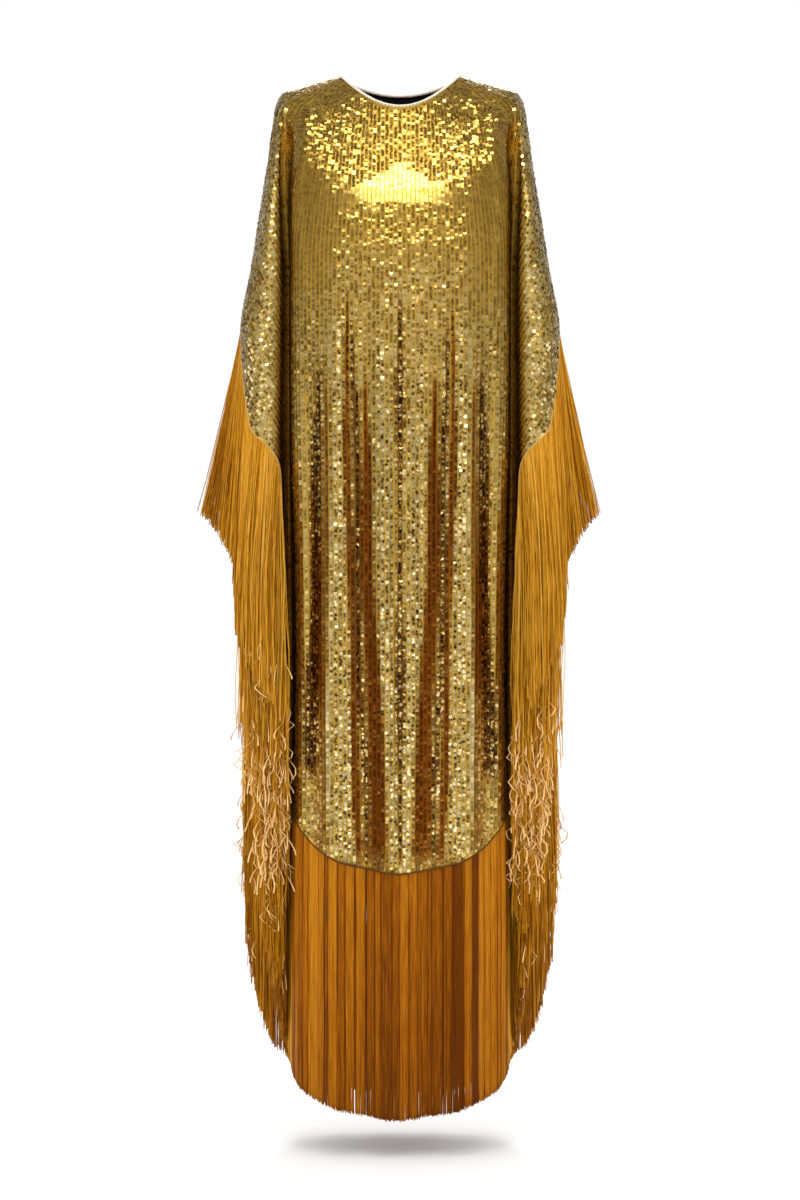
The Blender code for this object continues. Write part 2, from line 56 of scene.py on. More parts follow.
# Rings round the neck, shoulders and chest, one row for each. Depths are from the shoulder line.
RING_COLUMNS = "drop half_width side_z front_y front_z back_y back_z square"
RINGS = (
    (0.000, 0.0910, 0.0000, 0.086, -0.058, 0.058, -0.020, 2.00),
    (0.045, 0.1180, -0.0080, 0.100, -0.101, 0.078, -0.045, 2.10),
    (0.085, 0.1480, -0.0165, 0.113, -0.139, 0.092, -0.080, 2.20),
    (0.120, 0.1720, -0.0245, 0.125, -0.172, 0.100, -0.115, 2.30),
    (0.145, 0.1840, -0.0420, 0.133, -0.196, 0.104, -0.145, 2.40),
    (0.168, 0.1905, -0.0800, 0.136, -0.219, 0.106, -0.180, 2.45),
    (0.200, 0.2010, -0.1470, 0.137, -0.250, 0.107, -0.225, 2.50),
    (0.250, 0.2245, -0.3000, 0.136, -0.300, 0.106, -0.300, 2.55),
)
RING_END = 0.250
RING_END_Z = -0.300
VALLEY_START = 0.115

# Level sections below the chest, one row for each height. A y is a depth, an x a half width.
LEVEL_COLUMNS = "z centre_y corner_x corner_y lip_x lip_y seam_x turn fold_in fold_y arm_x"
FRONT_LEVELS = (
    (-0.30, 0.136, 0.153, 0.113, 0.1645, 0.082, 0.1675, 90, 0.0150, 0.088, 0.2250),
    (-0.38, 0.135, 0.154, 0.112, 0.1645, 0.080, 0.1675, 90, 0.0160, 0.088, 0.2385),
    (-0.54, 0.133, 0.154, 0.110, 0.1640, 0.076, 0.1675, 89, 0.0190, 0.088, 0.2410),
    (-0.70, 0.131, 0.150, 0.108, 0.1600, 0.068, 0.1665, 90, 0.0190, 0.086, 0.2410),
    (-0.90, 0.130, 0.148, 0.105, 0.1580, 0.062, 0.1655, 91, 0.0190, 0.086, 0.2410),
    (-1.20, 0.131, 0.153, 0.101, 0.1600, 0.055, 0.1670, 97, 0.0190, 0.086, 0.2410),
)
BACK_LEVELS = (
    (-0.30, 0.106, 0.153, 0.090, 0.1645, 0.062, 0.1675, 88, 0.0150, 0.076, 0.2250),
    (-0.38, 0.105, 0.154, 0.090, 0.1645, 0.060, 0.1675, 86, 0.0160, 0.076, 0.2385),
    (-0.54, 0.105, 0.154, 0.091, 0.1640, 0.058, 0.1675, 78, 0.0190, 0.076, 0.2410),
    (-0.70, 0.107, 0.153, 0.093, 0.1620, 0.058, 0.1675, 62, 0.0190, 0.076, 0.2410),
    (-0.90, 0.110, 0.153, 0.094, 0.1610, 0.058, 0.1685, 44, 0.0190, 0.076, 0.2410),
    (-1.20, 0.114, 0.153, 0.094, 0.1610, 0.056, 0.1690, 42, 0.0190, 0.076, 0.2410),
)
# Stations round a half: middle, between, corner, lip, flank, seam, flap's root, flap, flap's lip,
# sleeve front, fold, outer sleeve, arm. The angle is where each lies on the rings above.
STATION_SHARE = (0.0, 0.20, 0.38, 0.48, 0.56, 0.60, 0.62, 0.66, 0.70, 0.75, 0.80, 0.90, 1.0)
STATION_ANGLE = (0.0, 22.0, 41.0, 50.0, 56.0, 60.0, 63.0, 65.5, 67.5, 71.0, 75.0, 82.0, 90.0)
FRONT_ROUNDNESS = 2.4
# The turn at the side seam: how far its flanks stand from it, and how far in they start.
TURN_HALF = 0.0052
TURN_IN = 0.0120
FLAP_ROOT = 0.015
# The sleeve: how its front runs on from the flap's lip, and how its outer side rounds.
SLEEVE_RUN = 0.4
SLEEVE_LIFT = 0.004
OUTER_ROUND = 0.15
OUTER_HALF = 0.5
# The folds of the body fade out over these shares.
FOLDS_END = 0.36
FOLDS_FADE = 0.14
HEM_LEVEL = -1.19
FOLD_START = 0.45

# The free edge, from the middle of the hem round to the top of the cuff.
EDGE_COLUMNS = "share front_z back_z"
EDGE = (
    (0.000, -1.187, -1.190),
    (0.200, -1.172, -1.178),
    (0.310, -1.150, -1.158),
    (0.385, -1.128, -1.138),
    (0.420, -1.114, -1.126),
    (0.520, -1.098, -1.110),
    (0.600, -1.080, -1.092),
    (0.630, -1.068, -1.074),
    (0.656, -1.040, -1.040),
    (0.674, -0.985, -0.980),
    (0.686, -0.900, -0.895),
    (0.693, -0.790, -0.785),
    (0.697, -0.690, -0.685),
    (0.702, -0.600, -0.610),
    (0.730, -0.572, -0.580),
    (0.800, -0.535, -0.540),
    (0.880, -0.445, -0.450),
    (0.950, -0.392, -0.394),
    (1.000, -0.380, -0.380),
)

# Long folds below the chest, one row for each: a minus depth is a trough.
FOLD_COLUMNS = "top_x hem_x top_z half_width hem_half_width depth"
FRONT_FOLDS = (
    (-0.130, -0.128, -0.34, 0.011, 0.013, -0.007),
    (-0.096, -0.098, -0.28, 0.016, 0.020, 0.008),
    (-0.050, -0.051, -0.30, 0.011, 0.018, -0.012),
    (-0.020, -0.022, -0.40, 0.012, 0.014, 0.006),
    (0.004, 0.002, -0.45, 0.010, 0.012, -0.005),
    (0.028, 0.040, -0.36, 0.011, 0.017, -0.011),
    (0.060, 0.066, -0.30, 0.010, 0.010, -0.004),
    (0.098, 0.100, -0.28, 0.016, 0.019, 0.008),
    (0.129, 0.128, -0.34, 0.011, 0.013, -0.007),
)
BACK_FOLDS = (
    (-0.126, -0.122, -0.30, 0.012, 0.014, -0.007),
    (-0.088, -0.092, -0.24, 0.015, 0.020, 0.008),
    (-0.050, -0.058, -0.28, 0.012, 0.018, -0.011),
    (-0.018, -0.020, -0.34, 0.013, 0.015, 0.006),
    (0.016, 0.010, -0.28, 0.012, 0.017, -0.010),
    (0.044, 0.046, -0.40, 0.012, 0.014, 0.006),
    (0.078, 0.080, -0.30, 0.012, 0.017, -0.010),
    (0.106, 0.108, -0.26, 0.013, 0.016, 0.006),
    (0.130, 0.132, -0.34, 0.010, 0.012, -0.006),
)

# Fringe, one row for each share: where a lock leans to beyond its root, and how long it is. It
# leans out all the way to `settle` of its length, and faster at first where `early` is above 0.
HEM_SHARE = 0.46
FRINGE_COLUMNS = ("share settle early front_length front_outward front_forward "
                  "back_length back_outward back_forward")
FRINGE = (
    (0.000, 0.2, 0.6, 0.358, 0.000, 0.002, 0.352, 0.000, 0.002),
    (0.250, 0.2, 0.6, 0.362, 0.000, 0.002, 0.358, 0.000, 0.002),
    (0.420, 0.2, 0.6, 0.378, 0.001, 0.002, 0.376, 0.001, 0.002),
    (0.600, 0.2, 0.6, 0.370, 0.004, 0.002, 0.372, 0.004, 0.002),
    (0.650, 0.4, 0.6, 0.370, 0.008, 0.002, 0.372, 0.004, 0.004),
    (0.690, 0.4, 0.6, 0.365, 0.026, 0.012, 0.362, 0.010, 0.020),
    (0.701, 0.4, 0.6, 0.358, 0.046, 0.022, 0.352, 0.001, 0.042),
    (0.715, 0.5, 0.5, 0.350, 0.016, 0.038, 0.348, 0.012, 0.042),
    (0.760, 0.6, 0.4, 0.350, 0.012, 0.034, 0.345, 0.012, 0.036),
    (0.800, 0.8, 0.2, 0.318, 0.015, 0.026, 0.312, 0.015, 0.026),
    (0.840, 0.9, 0.1, 0.320, 0.013, 0.017, 0.316, 0.0145, 0.017),
    (0.880, 1.0, 0.0, 0.292, 0.013, 0.008, 0.290, 0.0155, 0.008),
    (0.920, 1.0, -0.1, 0.292, 0.027, 0.007, 0.290, 0.029, 0.007),
    (0.960, 1.0, -0.1, 0.288, 0.045, 0.004, 0.287, 0.046, 0.004),
    (1.000, 1.0, -0.1, 0.280, 0.064, 0.002, 0.280, 0.062, 0.002),
)

# Neck binding: a flat oval cord of satin over the neck edge.
BINDING_WIDE = 0.0050
BINDING_THICK = 0.0042
BINDING_LIFT = 0.0006
BINDING_RISE = 0.030


def columns(names, rows):
    """Turn a table's rows into one array for each named column."""
    values = np.array(rows, dtype=float).T
    return dict(zip(names.split(), values))


def smooth(keys, values, at):
    """Read a curve at `at`: a cubic through each key that never swings past its values."""
    keys = np.asarray(keys, dtype=float)
    values = np.asarray(values, dtype=float)
    at = np.asarray(at, dtype=float)
    if values.ndim == 1:
        values = np.broadcast_to(values.reshape((-1,) + (1,) * at.ndim), (len(keys),) + at.shape)
    steps = np.diff(keys).reshape((-1,) + (1,) * at.ndim)
    rise = np.diff(values, axis=0) / steps
    product = rise[:-1] * rise[1:]
    total = rise[:-1] + rise[1:]
    inner = np.where(product > 0, 2 * product / np.where(total == 0, 1, total), 0)
    slope = np.concatenate([rise[:1], inner, rise[-1:]])
    cell = np.clip(np.searchsorted(keys, at, side="right") - 1, 0, len(keys) - 2)
    width = keys[cell + 1] - keys[cell]
    t = (at - keys[cell]) / width
    low, high, slope_low, slope_high = (np.take_along_axis(given, cell[None] + step, 0)[0]
                                        for given in (values, slope) for step in (0, 1))
    bend_low = t * (1 - t) ** 2 * slope_low * width
    bend_high = t ** 2 * (t - 1) * slope_high * width
    return low + (high - low) * t ** 2 * (3 - 2 * t) + bend_low + bend_high


def ease(t):
    """Go from 0 to 1 with a level start and end."""
    t = np.clip(t, 0, 1)
    return t * t * (3 - 2 * t)


def set_in(value, low, high):
    """0 at `low` and 1 at `high`, eased between them; `high` may be the smaller."""
    return ease((value - low) / (high - low))


def ring_form(share, drop, face):
    """Points of the neck, shoulder and chest rings: squared ovals that dip in the middle."""
    table = columns(RING_COLUMNS, RINGS)
    side = "front" if face < 0 else "back"
    held = np.clip(drop, -0.02, RING_END)
    below = np.maximum(drop - RING_END, 0)
    wide, deep, side_z, middle_z, square = (
        smooth(table["drop"], table[key], held)
        for key in ("half_width", side + "_y", "side_z", side + "_z", "square"))
    power = 2 / square
    angle = np.radians(smooth(STATION_SHARE, STATION_ANGLE, share))
    x = wide * np.sin(angle) ** power
    y = deep * np.clip(np.cos(angle), 0, 1) ** power
    z = side_z + (middle_z - side_z) * np.cos(angle) ** 2 - below
    return x, y, z


def round_through(xs, shares, at):
    """Cubic spline that rounds the corners of the polygon of stations, read at shares `at`."""
    xs = np.stack(xs)
    t = np.interp(at, shares, np.arange(len(shares)))
    cell = np.clip(np.floor(t).astype(int), 0, len(shares) - 2)
    u = t - cell
    weights = ((1 - u) ** 3, 3 * u ** 3 - 6 * u ** 2 + 4, 1 + 3 * u + 3 * u ** 2 - 3 * u ** 3, u ** 3)
    return sum(weight / 6 * np.take_along_axis(xs, cell[None] + step, 0)[0]
               for step, weight in enumerate(weights))


def level_form(share, drop, face):
    """Points of the level sections: body, side seam, the flap beside it, and the sleeve."""
    table = columns(LEVEL_COLUMNS, FRONT_LEVELS if face < 0 else BACK_LEVELS)
    z = np.clip(RING_END_Z - (drop - RING_END), -1.2, RING_END_Z)
    row = {name: smooth(-table["z"], table[name], -z) for name in table}
    rings = columns(RING_COLUMNS, RINGS)
    arm_x = np.where(drop < RING_END,
                     smooth(rings["drop"], rings["half_width"], np.clip(drop, 0, RING_END)),
                     row["arm_x"])
    turn = np.radians(row["turn"])
    centre_y, corner_x, corner_y = row["centre_y"], row["corner_x"], row["corner_y"]
    seam_x, fold_x, fold_y = row["seam_x"], arm_x - row["fold_in"], row["fold_y"]
    between = STATION_SHARE[1] / STATION_SHARE[2]
    between_y = centre_y - (centre_y - corner_y) * between ** FRONT_ROUNDNESS
    flap_x = seam_x + TURN_HALF
    turn_y = (3 * WALL - TURN_IN - FLAP_ROOT * np.sin(turn)) / 4
    flap = [(flap_x + width * np.cos(turn), width * np.sin(turn))
            for width in (FLAP_ROOT, FLAP_WIDTH / 2, FLAP_WIDTH)]
    lip_x, lip_y = flap[-1]
    outer_x = arm_x - OUTER_ROUND * row["fold_in"]
    outer_y = OUTER_HALF * fold_y
    sleeve_x = lip_x + SLEEVE_RUN * (fold_x - lip_x)
    stations = [(-between * corner_x, between_y), (0 * z, centre_y), (between * corner_x, between_y),
                (corner_x, corner_y), (row["lip_x"], row["lip_y"]),
                (seam_x - TURN_HALF, TURN_IN + 0 * z), (seam_x, turn_y), *flap,
                (sleeve_x, np.maximum(lip_y, fold_y) + SLEEVE_LIFT),
                (fold_x, fold_y), (outer_x, outer_y), (arm_x, 0 * z), (outer_x, -outer_y)]
    xs, ys = zip(*stations)
    return round_through(xs, STATION_SHARE, share), round_through(ys, STATION_SHARE, share)


def fold_push(x, z, face):
    """Outward push of the long folds: each is a bell across x that grows towards the hem."""
    table = columns(FOLD_COLUMNS, FRONT_FOLDS if face < 0 else BACK_FOLDS)
    push = 0 * x
    for top_x, hem_x, top_z, narrow, wide, depth in zip(*table.values()):
        down = np.clip((top_z - z) / (top_z - HEM_LEVEL), 0, 1)
        middle = top_x + (hem_x - top_x) * down
        width = narrow + (wide - narrow) * down
        grown = ease(3 * down) * (FOLD_START + (1 - FOLD_START) * down)
        push = push + depth * grown * np.exp(-((x - middle) / width) ** 2)
    return push


def cloth(share, drop, face):
    """The middle of the wall at (share, drop): chest rings easing into level sections."""
    share, drop = np.broadcast_arrays(np.asarray(share, float), np.asarray(drop, float))
    side = np.where(share < 0, -1.0, 1.0)
    across = np.clip(np.abs(share), 0, 1)
    ring_x, ring_y, z = ring_form(across, drop, face)
    level_x, level_y = level_form(across, drop, face)
    weight = set_in(drop, VALLEY_START, RING_END)
    x = side * (ring_x + (level_x - ring_x) * weight)
    y = ring_y + (level_y - ring_y) * weight
    y = y + fold_push(x, z, face) * set_in(across, FOLDS_END + FOLDS_FADE, FOLDS_END)
    return np.stack([x, face * (y + SEAM_GAP / 2), z], axis=-1)


def edge_drop(share, face):
    """Drop of the free edge at each share."""
    table = columns(EDGE_COLUMNS, EDGE)
    z = smooth(table["share"], table["front_z" if face < 0 else "back_z"], np.abs(share))
    return RING_END + (RING_END_Z - z)


def edge_inset(share, face, inset):
    """(share, drop) of the line that runs inside the free edge, square to it by `inset`."""
    low, high = np.clip(share - PROBE, -1, 1), np.clip(share + PROBE, -1, 1)
    drop = edge_drop(share, face)
    run = np.linalg.norm(cloth(high, drop, face) - cloth(low, drop, face), axis=-1) / (high - low)
    fall = (edge_drop(high, face) - edge_drop(low, face)) / (high - low)
    length = np.hypot(run, fall)
    return share + inset * fall / length / run, drop - inset * run / length


# ---------------- shapes only the render needs

# Soft creases, one row for each: from (share, z) to (share, z), half width in share, height.
CREASE_COLUMNS = "share_a z_a share_b z_b half_width height"
FRONT_CREASES = (
    (-0.430, -0.085, -0.330, -0.520, 0.026, 0.0026),
    (-0.360, -0.300, -0.345, -1.150, 0.020, -0.0030),
    (-0.300, -0.360, -0.285, -1.120, 0.016, 0.0026),
    (-0.195, -0.300, -0.205, -1.120, 0.014, -0.0026),
    (-0.165, -0.420, -0.170, -1.080, 0.012, 0.0030),
    (-0.060, -0.340, -0.062, -0.980, 0.014, 0.0024),
    (-0.020, -0.520, -0.020, -1.150, 0.014, -0.0026),
    (0.045, -0.380, 0.048, -1.000, 0.013, 0.0024),
    (0.132, -0.420, 0.128, -1.040, 0.012, 0.0034),
    (0.185, -0.320, 0.200, -1.120, 0.015, -0.0030),
    (0.290, -0.330, 0.280, -1.100, 0.018, 0.0026),
    (0.350, -0.320, 0.345, -1.150, 0.020, -0.0030),
    (0.420, -0.085, 0.330, -0.520, 0.026, 0.0026),
    (-0.960, -0.090, -0.800, -0.400, 0.050, -0.0030),
    (-0.900, -0.230, -0.760, -0.480, 0.030, 0.0030),
    (-0.860, -0.050, -0.740, -0.330, 0.036, 0.0032),
    (0.960, -0.090, 0.800, -0.390, 0.050, -0.0030),
    (0.880, -0.240, 0.755, -0.470, 0.030, 0.0032),
    (0.850, -0.050, 0.735, -0.310, 0.036, 0.0030),
)
BACK_CREASES = (
    (-0.400, -0.070, -0.310, -0.480, 0.026, 0.0026),
    (-0.340, -0.280, -0.350, -1.150, 0.020, -0.0030),
    (-0.260, -0.340, -0.270, -1.100, 0.016, 0.0026),
    (-0.180, -0.280, -0.190, -1.120, 0.014, -0.0026),
    (-0.080, -0.300, -0.090, -1.050, 0.014, 0.0028),
    (0.000, -0.240, -0.010, -1.150, 0.014, 0.0024),
    (0.090, -0.360, 0.085, -1.100, 0.013, -0.0026),
    (0.155, -0.300, 0.160, -1.060, 0.014, 0.0030),
    (0.240, -0.280, 0.250, -1.120, 0.016, -0.0028),
    (0.330, -0.300, 0.320, -1.120, 0.020, 0.0026),
    (0.400, -0.070, 0.320, -0.480, 0.026, 0.0026),
    (-0.950, -0.090, -0.800, -0.400, 0.050, -0.0030),
    (-0.880, -0.220, -0.760, -0.480, 0.030, 0.0030),
    (0.950, -0.090, 0.800, -0.390, 0.050, -0.0030),
    (0.880, -0.240, 0.755, -0.470, 0.030, 0.0030),
)
# A crease eases in and out over these parts of its length, and wanders by a part of its width.
CREASE_IN, CREASE_OUT, CREASE_WANDER = 0.18, 0.36, 0.3
# Spans of share over which creases set in: none at the side seam, nor at the line over the arm.
CREASED = ((0.52, 0.46), (0.68, 0.72))
CREASED_ARM = (1.0, 0.97)
# Which way a crease pushes: degrees from straight ahead towards the side, by share.
PUSH_SHARE = (0.0, 0.38, 0.50, 0.70, 0.75, 0.80, 0.90, 1.0)
PUSH_ANGLE = (0.0, 15.0, 60.0, 5.0, 15.0, 45.0, 75.0, 90.0)

# Bands that follow the folds, painted light and shade: -1 plain bronze, painted shade; 0 gold;
# 1 pale gold, a painted highlight. Glitter: 0 where the sequins lie flat and even, 1 where they
# stand up and sparkle light and dark, by their tilt and by painted glints and painted shade.
BAND_COLUMNS = "top_x hem_x top_z hem_z half_width hem_half_width tone glitter"
FRONT_BANDS = (
    (0.142, 0.130, -0.42, -1.10, 0.0070, 0.0160, 0.15, 0.30),
    (0.119, 0.131, -0.42, -1.02, 0.0090, 0.0110, -0.75, 1.00),
    (0.109, 0.110, -0.40, -1.12, 0.0055, 0.0065, -0.45, 0.10),
    (0.102, 0.103, -0.36, -1.14, 0.0020, 0.0028, 0.90, 0.15),
    (0.091, 0.081, -0.34, -1.14, 0.0085, 0.0130, 0.05, 1.00),
    (0.078, 0.060, -0.33, -1.14, 0.0050, 0.0060, -0.90, 0.14),
    (0.067, 0.049, -0.36, -1.14, 0.0055, 0.0050, -0.60, 1.00),
    (0.052, 0.029, -0.44, -1.14, 0.0075, 0.0135, -0.95, 0.14),
    (0.028, 0.007, -0.38, -1.14, 0.0160, 0.0080, 0.15, 1.00),
    (0.000, 0.000, -0.32, -1.14, 0.0060, 0.0050, -0.75, 1.00),
)
BACK_BANDS = (
    (0.136, 0.132, -0.40, -1.10, 0.0090, 0.0120, 0.20, 0.15),
    (0.112, 0.108, -0.34, -1.12, 0.0090, 0.0120, -0.60, 1.00),
    (0.094, 0.088, -0.30, -1.12, 0.0060, 0.0065, 0.60, 0.10),
    (0.078, 0.070, -0.36, -1.12, 0.0070, 0.0110, -0.80, 0.05),
    (0.060, 0.050, -0.34, -1.12, 0.0080, 0.0100, 0.05, 0.95),
    (0.040, 0.031, -0.32, -1.12, 0.0070, 0.0100, -0.75, 0.05),
    (0.020, 0.014, -0.30, -1.12, 0.0100, 0.0090, 0.10, 0.90),
    (0.000, 0.000, -0.36, -1.12, 0.0050, 0.0060, 0.70, 0.15),
)
# A band bends outward first, wavers by BAND_WAVE, starts thin and is full BAND_GROWN further down.
# It fades in over BAND_TOP and out over BAND_END.
BAND_BEND, BAND_WAVE, BAND_START, BAND_GROWN = 1.7, 0.0020, 0.30, 0.22
BAND_TOP, BAND_END = 0.06, 0.05

# Spans over which something sets in: nothing at the first value, in full at the second.
ON_BODY = (0.45, 0.40)
ON_FLANK = ((0.43, 0.47), (0.745, 0.715))
ON_SLEEVE = (0.71, 0.73)
FLANK_Z = (-0.06, -0.16)
SPARKLE_Z = (-0.24, -0.32)
CHEST_SIDE_X, CHEST_SIDE_Z = (0.085, 0.115), (-0.40, -0.30)
CHEST_Z = (-0.305, -0.235)
PATCH_Z = (-0.206, -0.146)
BELOW_SHOULDER_Z = (-0.020, -0.060)
# By height: the flanks' painted light and shade, and the half width of the part of the chest where
# sequins are loose.
FLANK_PAINTED_LIGHT = ((-0.60, -0.30), (-0.2, 0.5))
CHEST_HALF = ((-0.20, -0.13), (0.070, 0.125))
# The bright patch across the chest narrows upward from PATCH_HALF to this part of it.
PATCH_HALF, PATCH_NARROW, PATCH_TOP, PATCH_TALL = 0.100, 0.12, -0.150, 0.045
# Painted light of the sleeves, which are painted lighter, and glitter of the chest, the folds and
# the sleeves. The flanks, the sides of the chest and the bright patch lose these parts of their
# glitter or looseness.
SLEEVE_PAINTED_LIGHT = 0.25
CHEST_GLITTER, FOLDS_GLITTER, SLEEVE_GLITTER = 0.10, 0.50, 0.70
FLANK_CALM, CHEST_SIDE_CALM, PATCH_CALM, SHOULDER_CALM = 0.90, 0.85, 0.88, 0.88

# Where the sequins catch the light as one, tipped up a little.
GLINT_COLUMNS = "x z half_width half_height tip"
GLINTS = (
    (0.0825, -0.236, 0.0090, 0.0150, 15.0),
    (0.090, -0.285, 0.0070, 0.0260, 10.0),
    (0.008, -0.250, 0.0170, 0.0140, 14.0),
    (0.000, -0.236, 0.1000, 0.0330, 9.0),
)

# Sequins: six-sided, 5.6 mm across, lapped like scales down rows 6.4 mm apart. Real ones are
# 3 to 4 mm, too many to draw. Tilts in degrees.
SEQUIN_RADIUS = 0.0028
ROW_PITCH = 0.0064
SEQUIN_PITCH = 0.0038
SEQUIN_LIFT = 0.0010
SEQUIN_SIDES = 6
# How far a sequin strays from its row: where they lie flat, and where they stand up.
STRAY = (0.0002, 0.0013)
LAP_TILT = 2.0
EVEN_TILT, GLITTER_TILT, LOOSE_TILT, SLEEVE_TILT = 1.5, 5.0, 9.0, 3.0
SLEEVE_SLANT = 55.0
SEAM_SHARE = 0.600
# Sequins keep clear of the binding on body and sleeve, of the hem, and of the seams by share.
BODY_TOP, SLEEVE_TOP, HEM_CLEAR = 0.0035, 0.004, 0.002
SLEEVE_SHARES = (SEAM_SHARE + 0.004, 0.994)
# The sleeve's rows reach this far in from the line over the arm.
SLEEVE_DEEP = 0.30

# The yarns of the fringe: width, and how far apart their roots are along the hem and the sleeves.
YARN_WIDTH = 0.0017
YARN_SIDES = 3
HEM_PITCH = 0.00037
SLEEVE_PITCH = 0.00056
# Stations down a yarn: close together at the end, where it frays and curls.
YARN_STATIONS = (0.0, 0.10, 0.25, 0.45, 0.65, 0.82, 0.90, 0.945, 0.975, 1.0)
TIP_START = 0.90
# Yarns hang in locks about this wide; some locks part a little.
LOCK_WIDTH = 0.014
LOCK_PARTING = 0.0026
PARTED_LOCKS = 0.22
# Tone of the yarns, and how it differs at random from lock to lock and from yarn to yarn, and the
# painted shade towards the sides of a lock: on the sleeves first, then on the hem.
YARN_TONE = 0.62
LOCK_SPREAD, YARN_SPREAD, LOCK_SIDE_PAINTED_SHADE = (0.12, 0.34), (0.18, 0.10), (0.4, 1.2)
# Loose yarns are lighter and those of the cuff darker, by this much over these spans of share.
LOOSE_LIGHTER, LOOSE = 0.18, ((0.62, 0.66), (0.82, 0.74))
CUFF_DARKER, CUFF = 0.16, (0.78, 0.84)
# Heights between which the tips of the sleeve fringe curl thickly, how soon that fades, and how
# many curl there and elsewhere. On the back there are BACK_CURLS of them.
CURL_TOP, CURL_END, CURL_FADE = -1.010, -1.205, 0.05
THICK_CURLS, THIN_CURLS, BACK_CURLS = 1.0, 0.10, 0.6
# Where the yarns run in a tidy sheet, and where they hang loose and curl.
TIDY_COLUMNS = "share scatter fan curl"
TIDY = (
    (0.000, 0.0003, 0.00, 0.00),
    (0.500, 0.0004, 0.00, 0.00),
    (0.600, 0.0016, 0.25, 0.10),
    (0.660, 0.0026, 0.40, 0.20),
    (0.684, 0.0034, 0.60, 1.50),
    (0.689, 0.0038, 0.95, 1.50),
    (0.701, 0.0038, 0.95, 1.50),
    (0.712, 0.0034, 0.45, 1.50),
    (0.780, 0.0020, 0.25, 0.05),
    (1.000, 0.0012, 0.16, 0.00),
)
# A yarn leans out and forward by these parts of its lock's lean, times `fan`, more or less.
FAN_OUTWARD, FAN_FORWARD = (-1.2, 0.35), (-1.0, 0.4)
# Furthest that a root lies inside the free edge, and how far a curled tip is thrown.
ROOT_INSET, TIP_THROW = 0.004, 0.0135
# Sway of a yarn: how far, and how many radians of wave lie down its length.
SWAY, SWAY_BEATS = 0.0024, (5, 14)
# Front and back yarns shift towards each other by this much where their edges meet.
MEET = (0.0006, 0.0022)
# How much darker a yarn's tip is than its root, by share.
TIP_SHADE = ((0.59, 0.61, 0.684, 0.694), (0.22, 0.62, 0.62, 0.10))

# Cords: chain stitches of the heading, overlock of the seams, stitches under the binding.
CORD_SIDES = 6
CHAIN_PITCH, CHAIN_STEP, CHAIN_INSET = 0.0032, 0.0016, 0.0018
OVERLOCK_PITCH, OVERLOCK_STEP = 0.0080, 0.0020
CORD_HALF_WIDE = 0.0013
CHAIN_HALF_THICK, OVERLOCK_HALF_THICK = 0.0010, 0.0007
NECK_STEPS, BINDING_SIDES, STEPS_A_RIPPLE = 360, 12, 6
STITCH_PITCH, STITCH_RADIUS = 0.005, 0.0006
STITCH_ENDS = ((-0.0012, 0.5), (-0.0007, 1.0), (0.0007, 1.0), (0.0012, 0.5))

# Grid of the cloth shells.
HALF_COLUMNS = 96
CLOTH_ROWS = 130
EDGE_STEPS = 4001
SHELL = 0.0012
SHELL_TOP = 0.001
EDGE_SEAM = 0.003


def crease_height(share, z, face):
    """Height of the soft creases: a bell across each slanting line, eased in and out along it."""
    table = columns(CREASE_COLUMNS, FRONT_CREASES if face < 0 else BACK_CREASES)
    height = 0 * share
    for share_a, z_a, share_b, z_b, half_width, rise in zip(*table.values()):
        along = np.clip((z_a - z) / (z_a - z_b), 0, 1)
        fade = set_in(along, 0, CREASE_IN) * set_in(along, 1, 1 - CREASE_OUT)
        wander = CREASE_WANDER * half_width * np.sin(9 * along + 40 * share_a)
        middle = share_a + (share_b - share_a) * along + wander
        height = height + rise * fade * np.exp(-((share - middle) / half_width) ** 2)
    across = np.abs(share)
    keep = set_in(across, *CREASED[0]) + set_in(across, *CREASED[1])
    return height * keep * set_in(across, *CREASED_ARM)


def worn(share, drop, face):
    """The middle of the wall with its creases."""
    share, drop = np.broadcast_arrays(np.asarray(share, float), np.asarray(drop, float))
    middle = cloth(share, drop, face)
    angle = np.radians(np.interp(np.abs(share), PUSH_SHARE, PUSH_ANGLE))
    side = np.where(share < 0, -1.0, 1.0)
    push = np.stack([side * np.sin(angle), face * np.cos(angle), 0 * share], axis=-1)
    return middle + push * crease_height(share, middle[..., 2], face)[..., None]


def unit(vectors):
    """Vectors scaled to length one."""
    return vectors / np.linalg.norm(vectors, axis=-1, keepdims=True)


def square_to(vectors, ways):
    """Unit vectors nearest to `vectors` that are square to the unit `ways`."""
    return unit(vectors - ways * np.sum(vectors * ways, axis=-1, keepdims=True))


def worn_frame(share, drop, face):
    """(point, outward normal, unit way down, unit way across) of the creased cloth."""
    low, high = np.clip(share - PROBE, -1, 1), np.clip(share + PROBE, -1, 1)
    across = worn(high, drop, face) - worn(low, drop, face)
    down = worn(share, drop + PROBE, face) - worn(share, drop - PROBE, face)
    normal = unit(np.cross(across, down) * face)
    down = unit(down)
    return worn(share, drop, face), normal, down, np.cross(down, normal)


def lengths_along(path):
    """Length of a path up to each of its points."""
    return np.concatenate([[0], np.cumsum(np.linalg.norm(np.diff(path, axis=0), axis=1))])


def edge_run(start, end, face):
    """(share, length along the free edge up to it) in fine steps from share `start` to `end`."""
    fine = np.linspace(start, end, EDGE_STEPS)
    return fine, lengths_along(cloth(fine, edge_drop(fine, face), face))


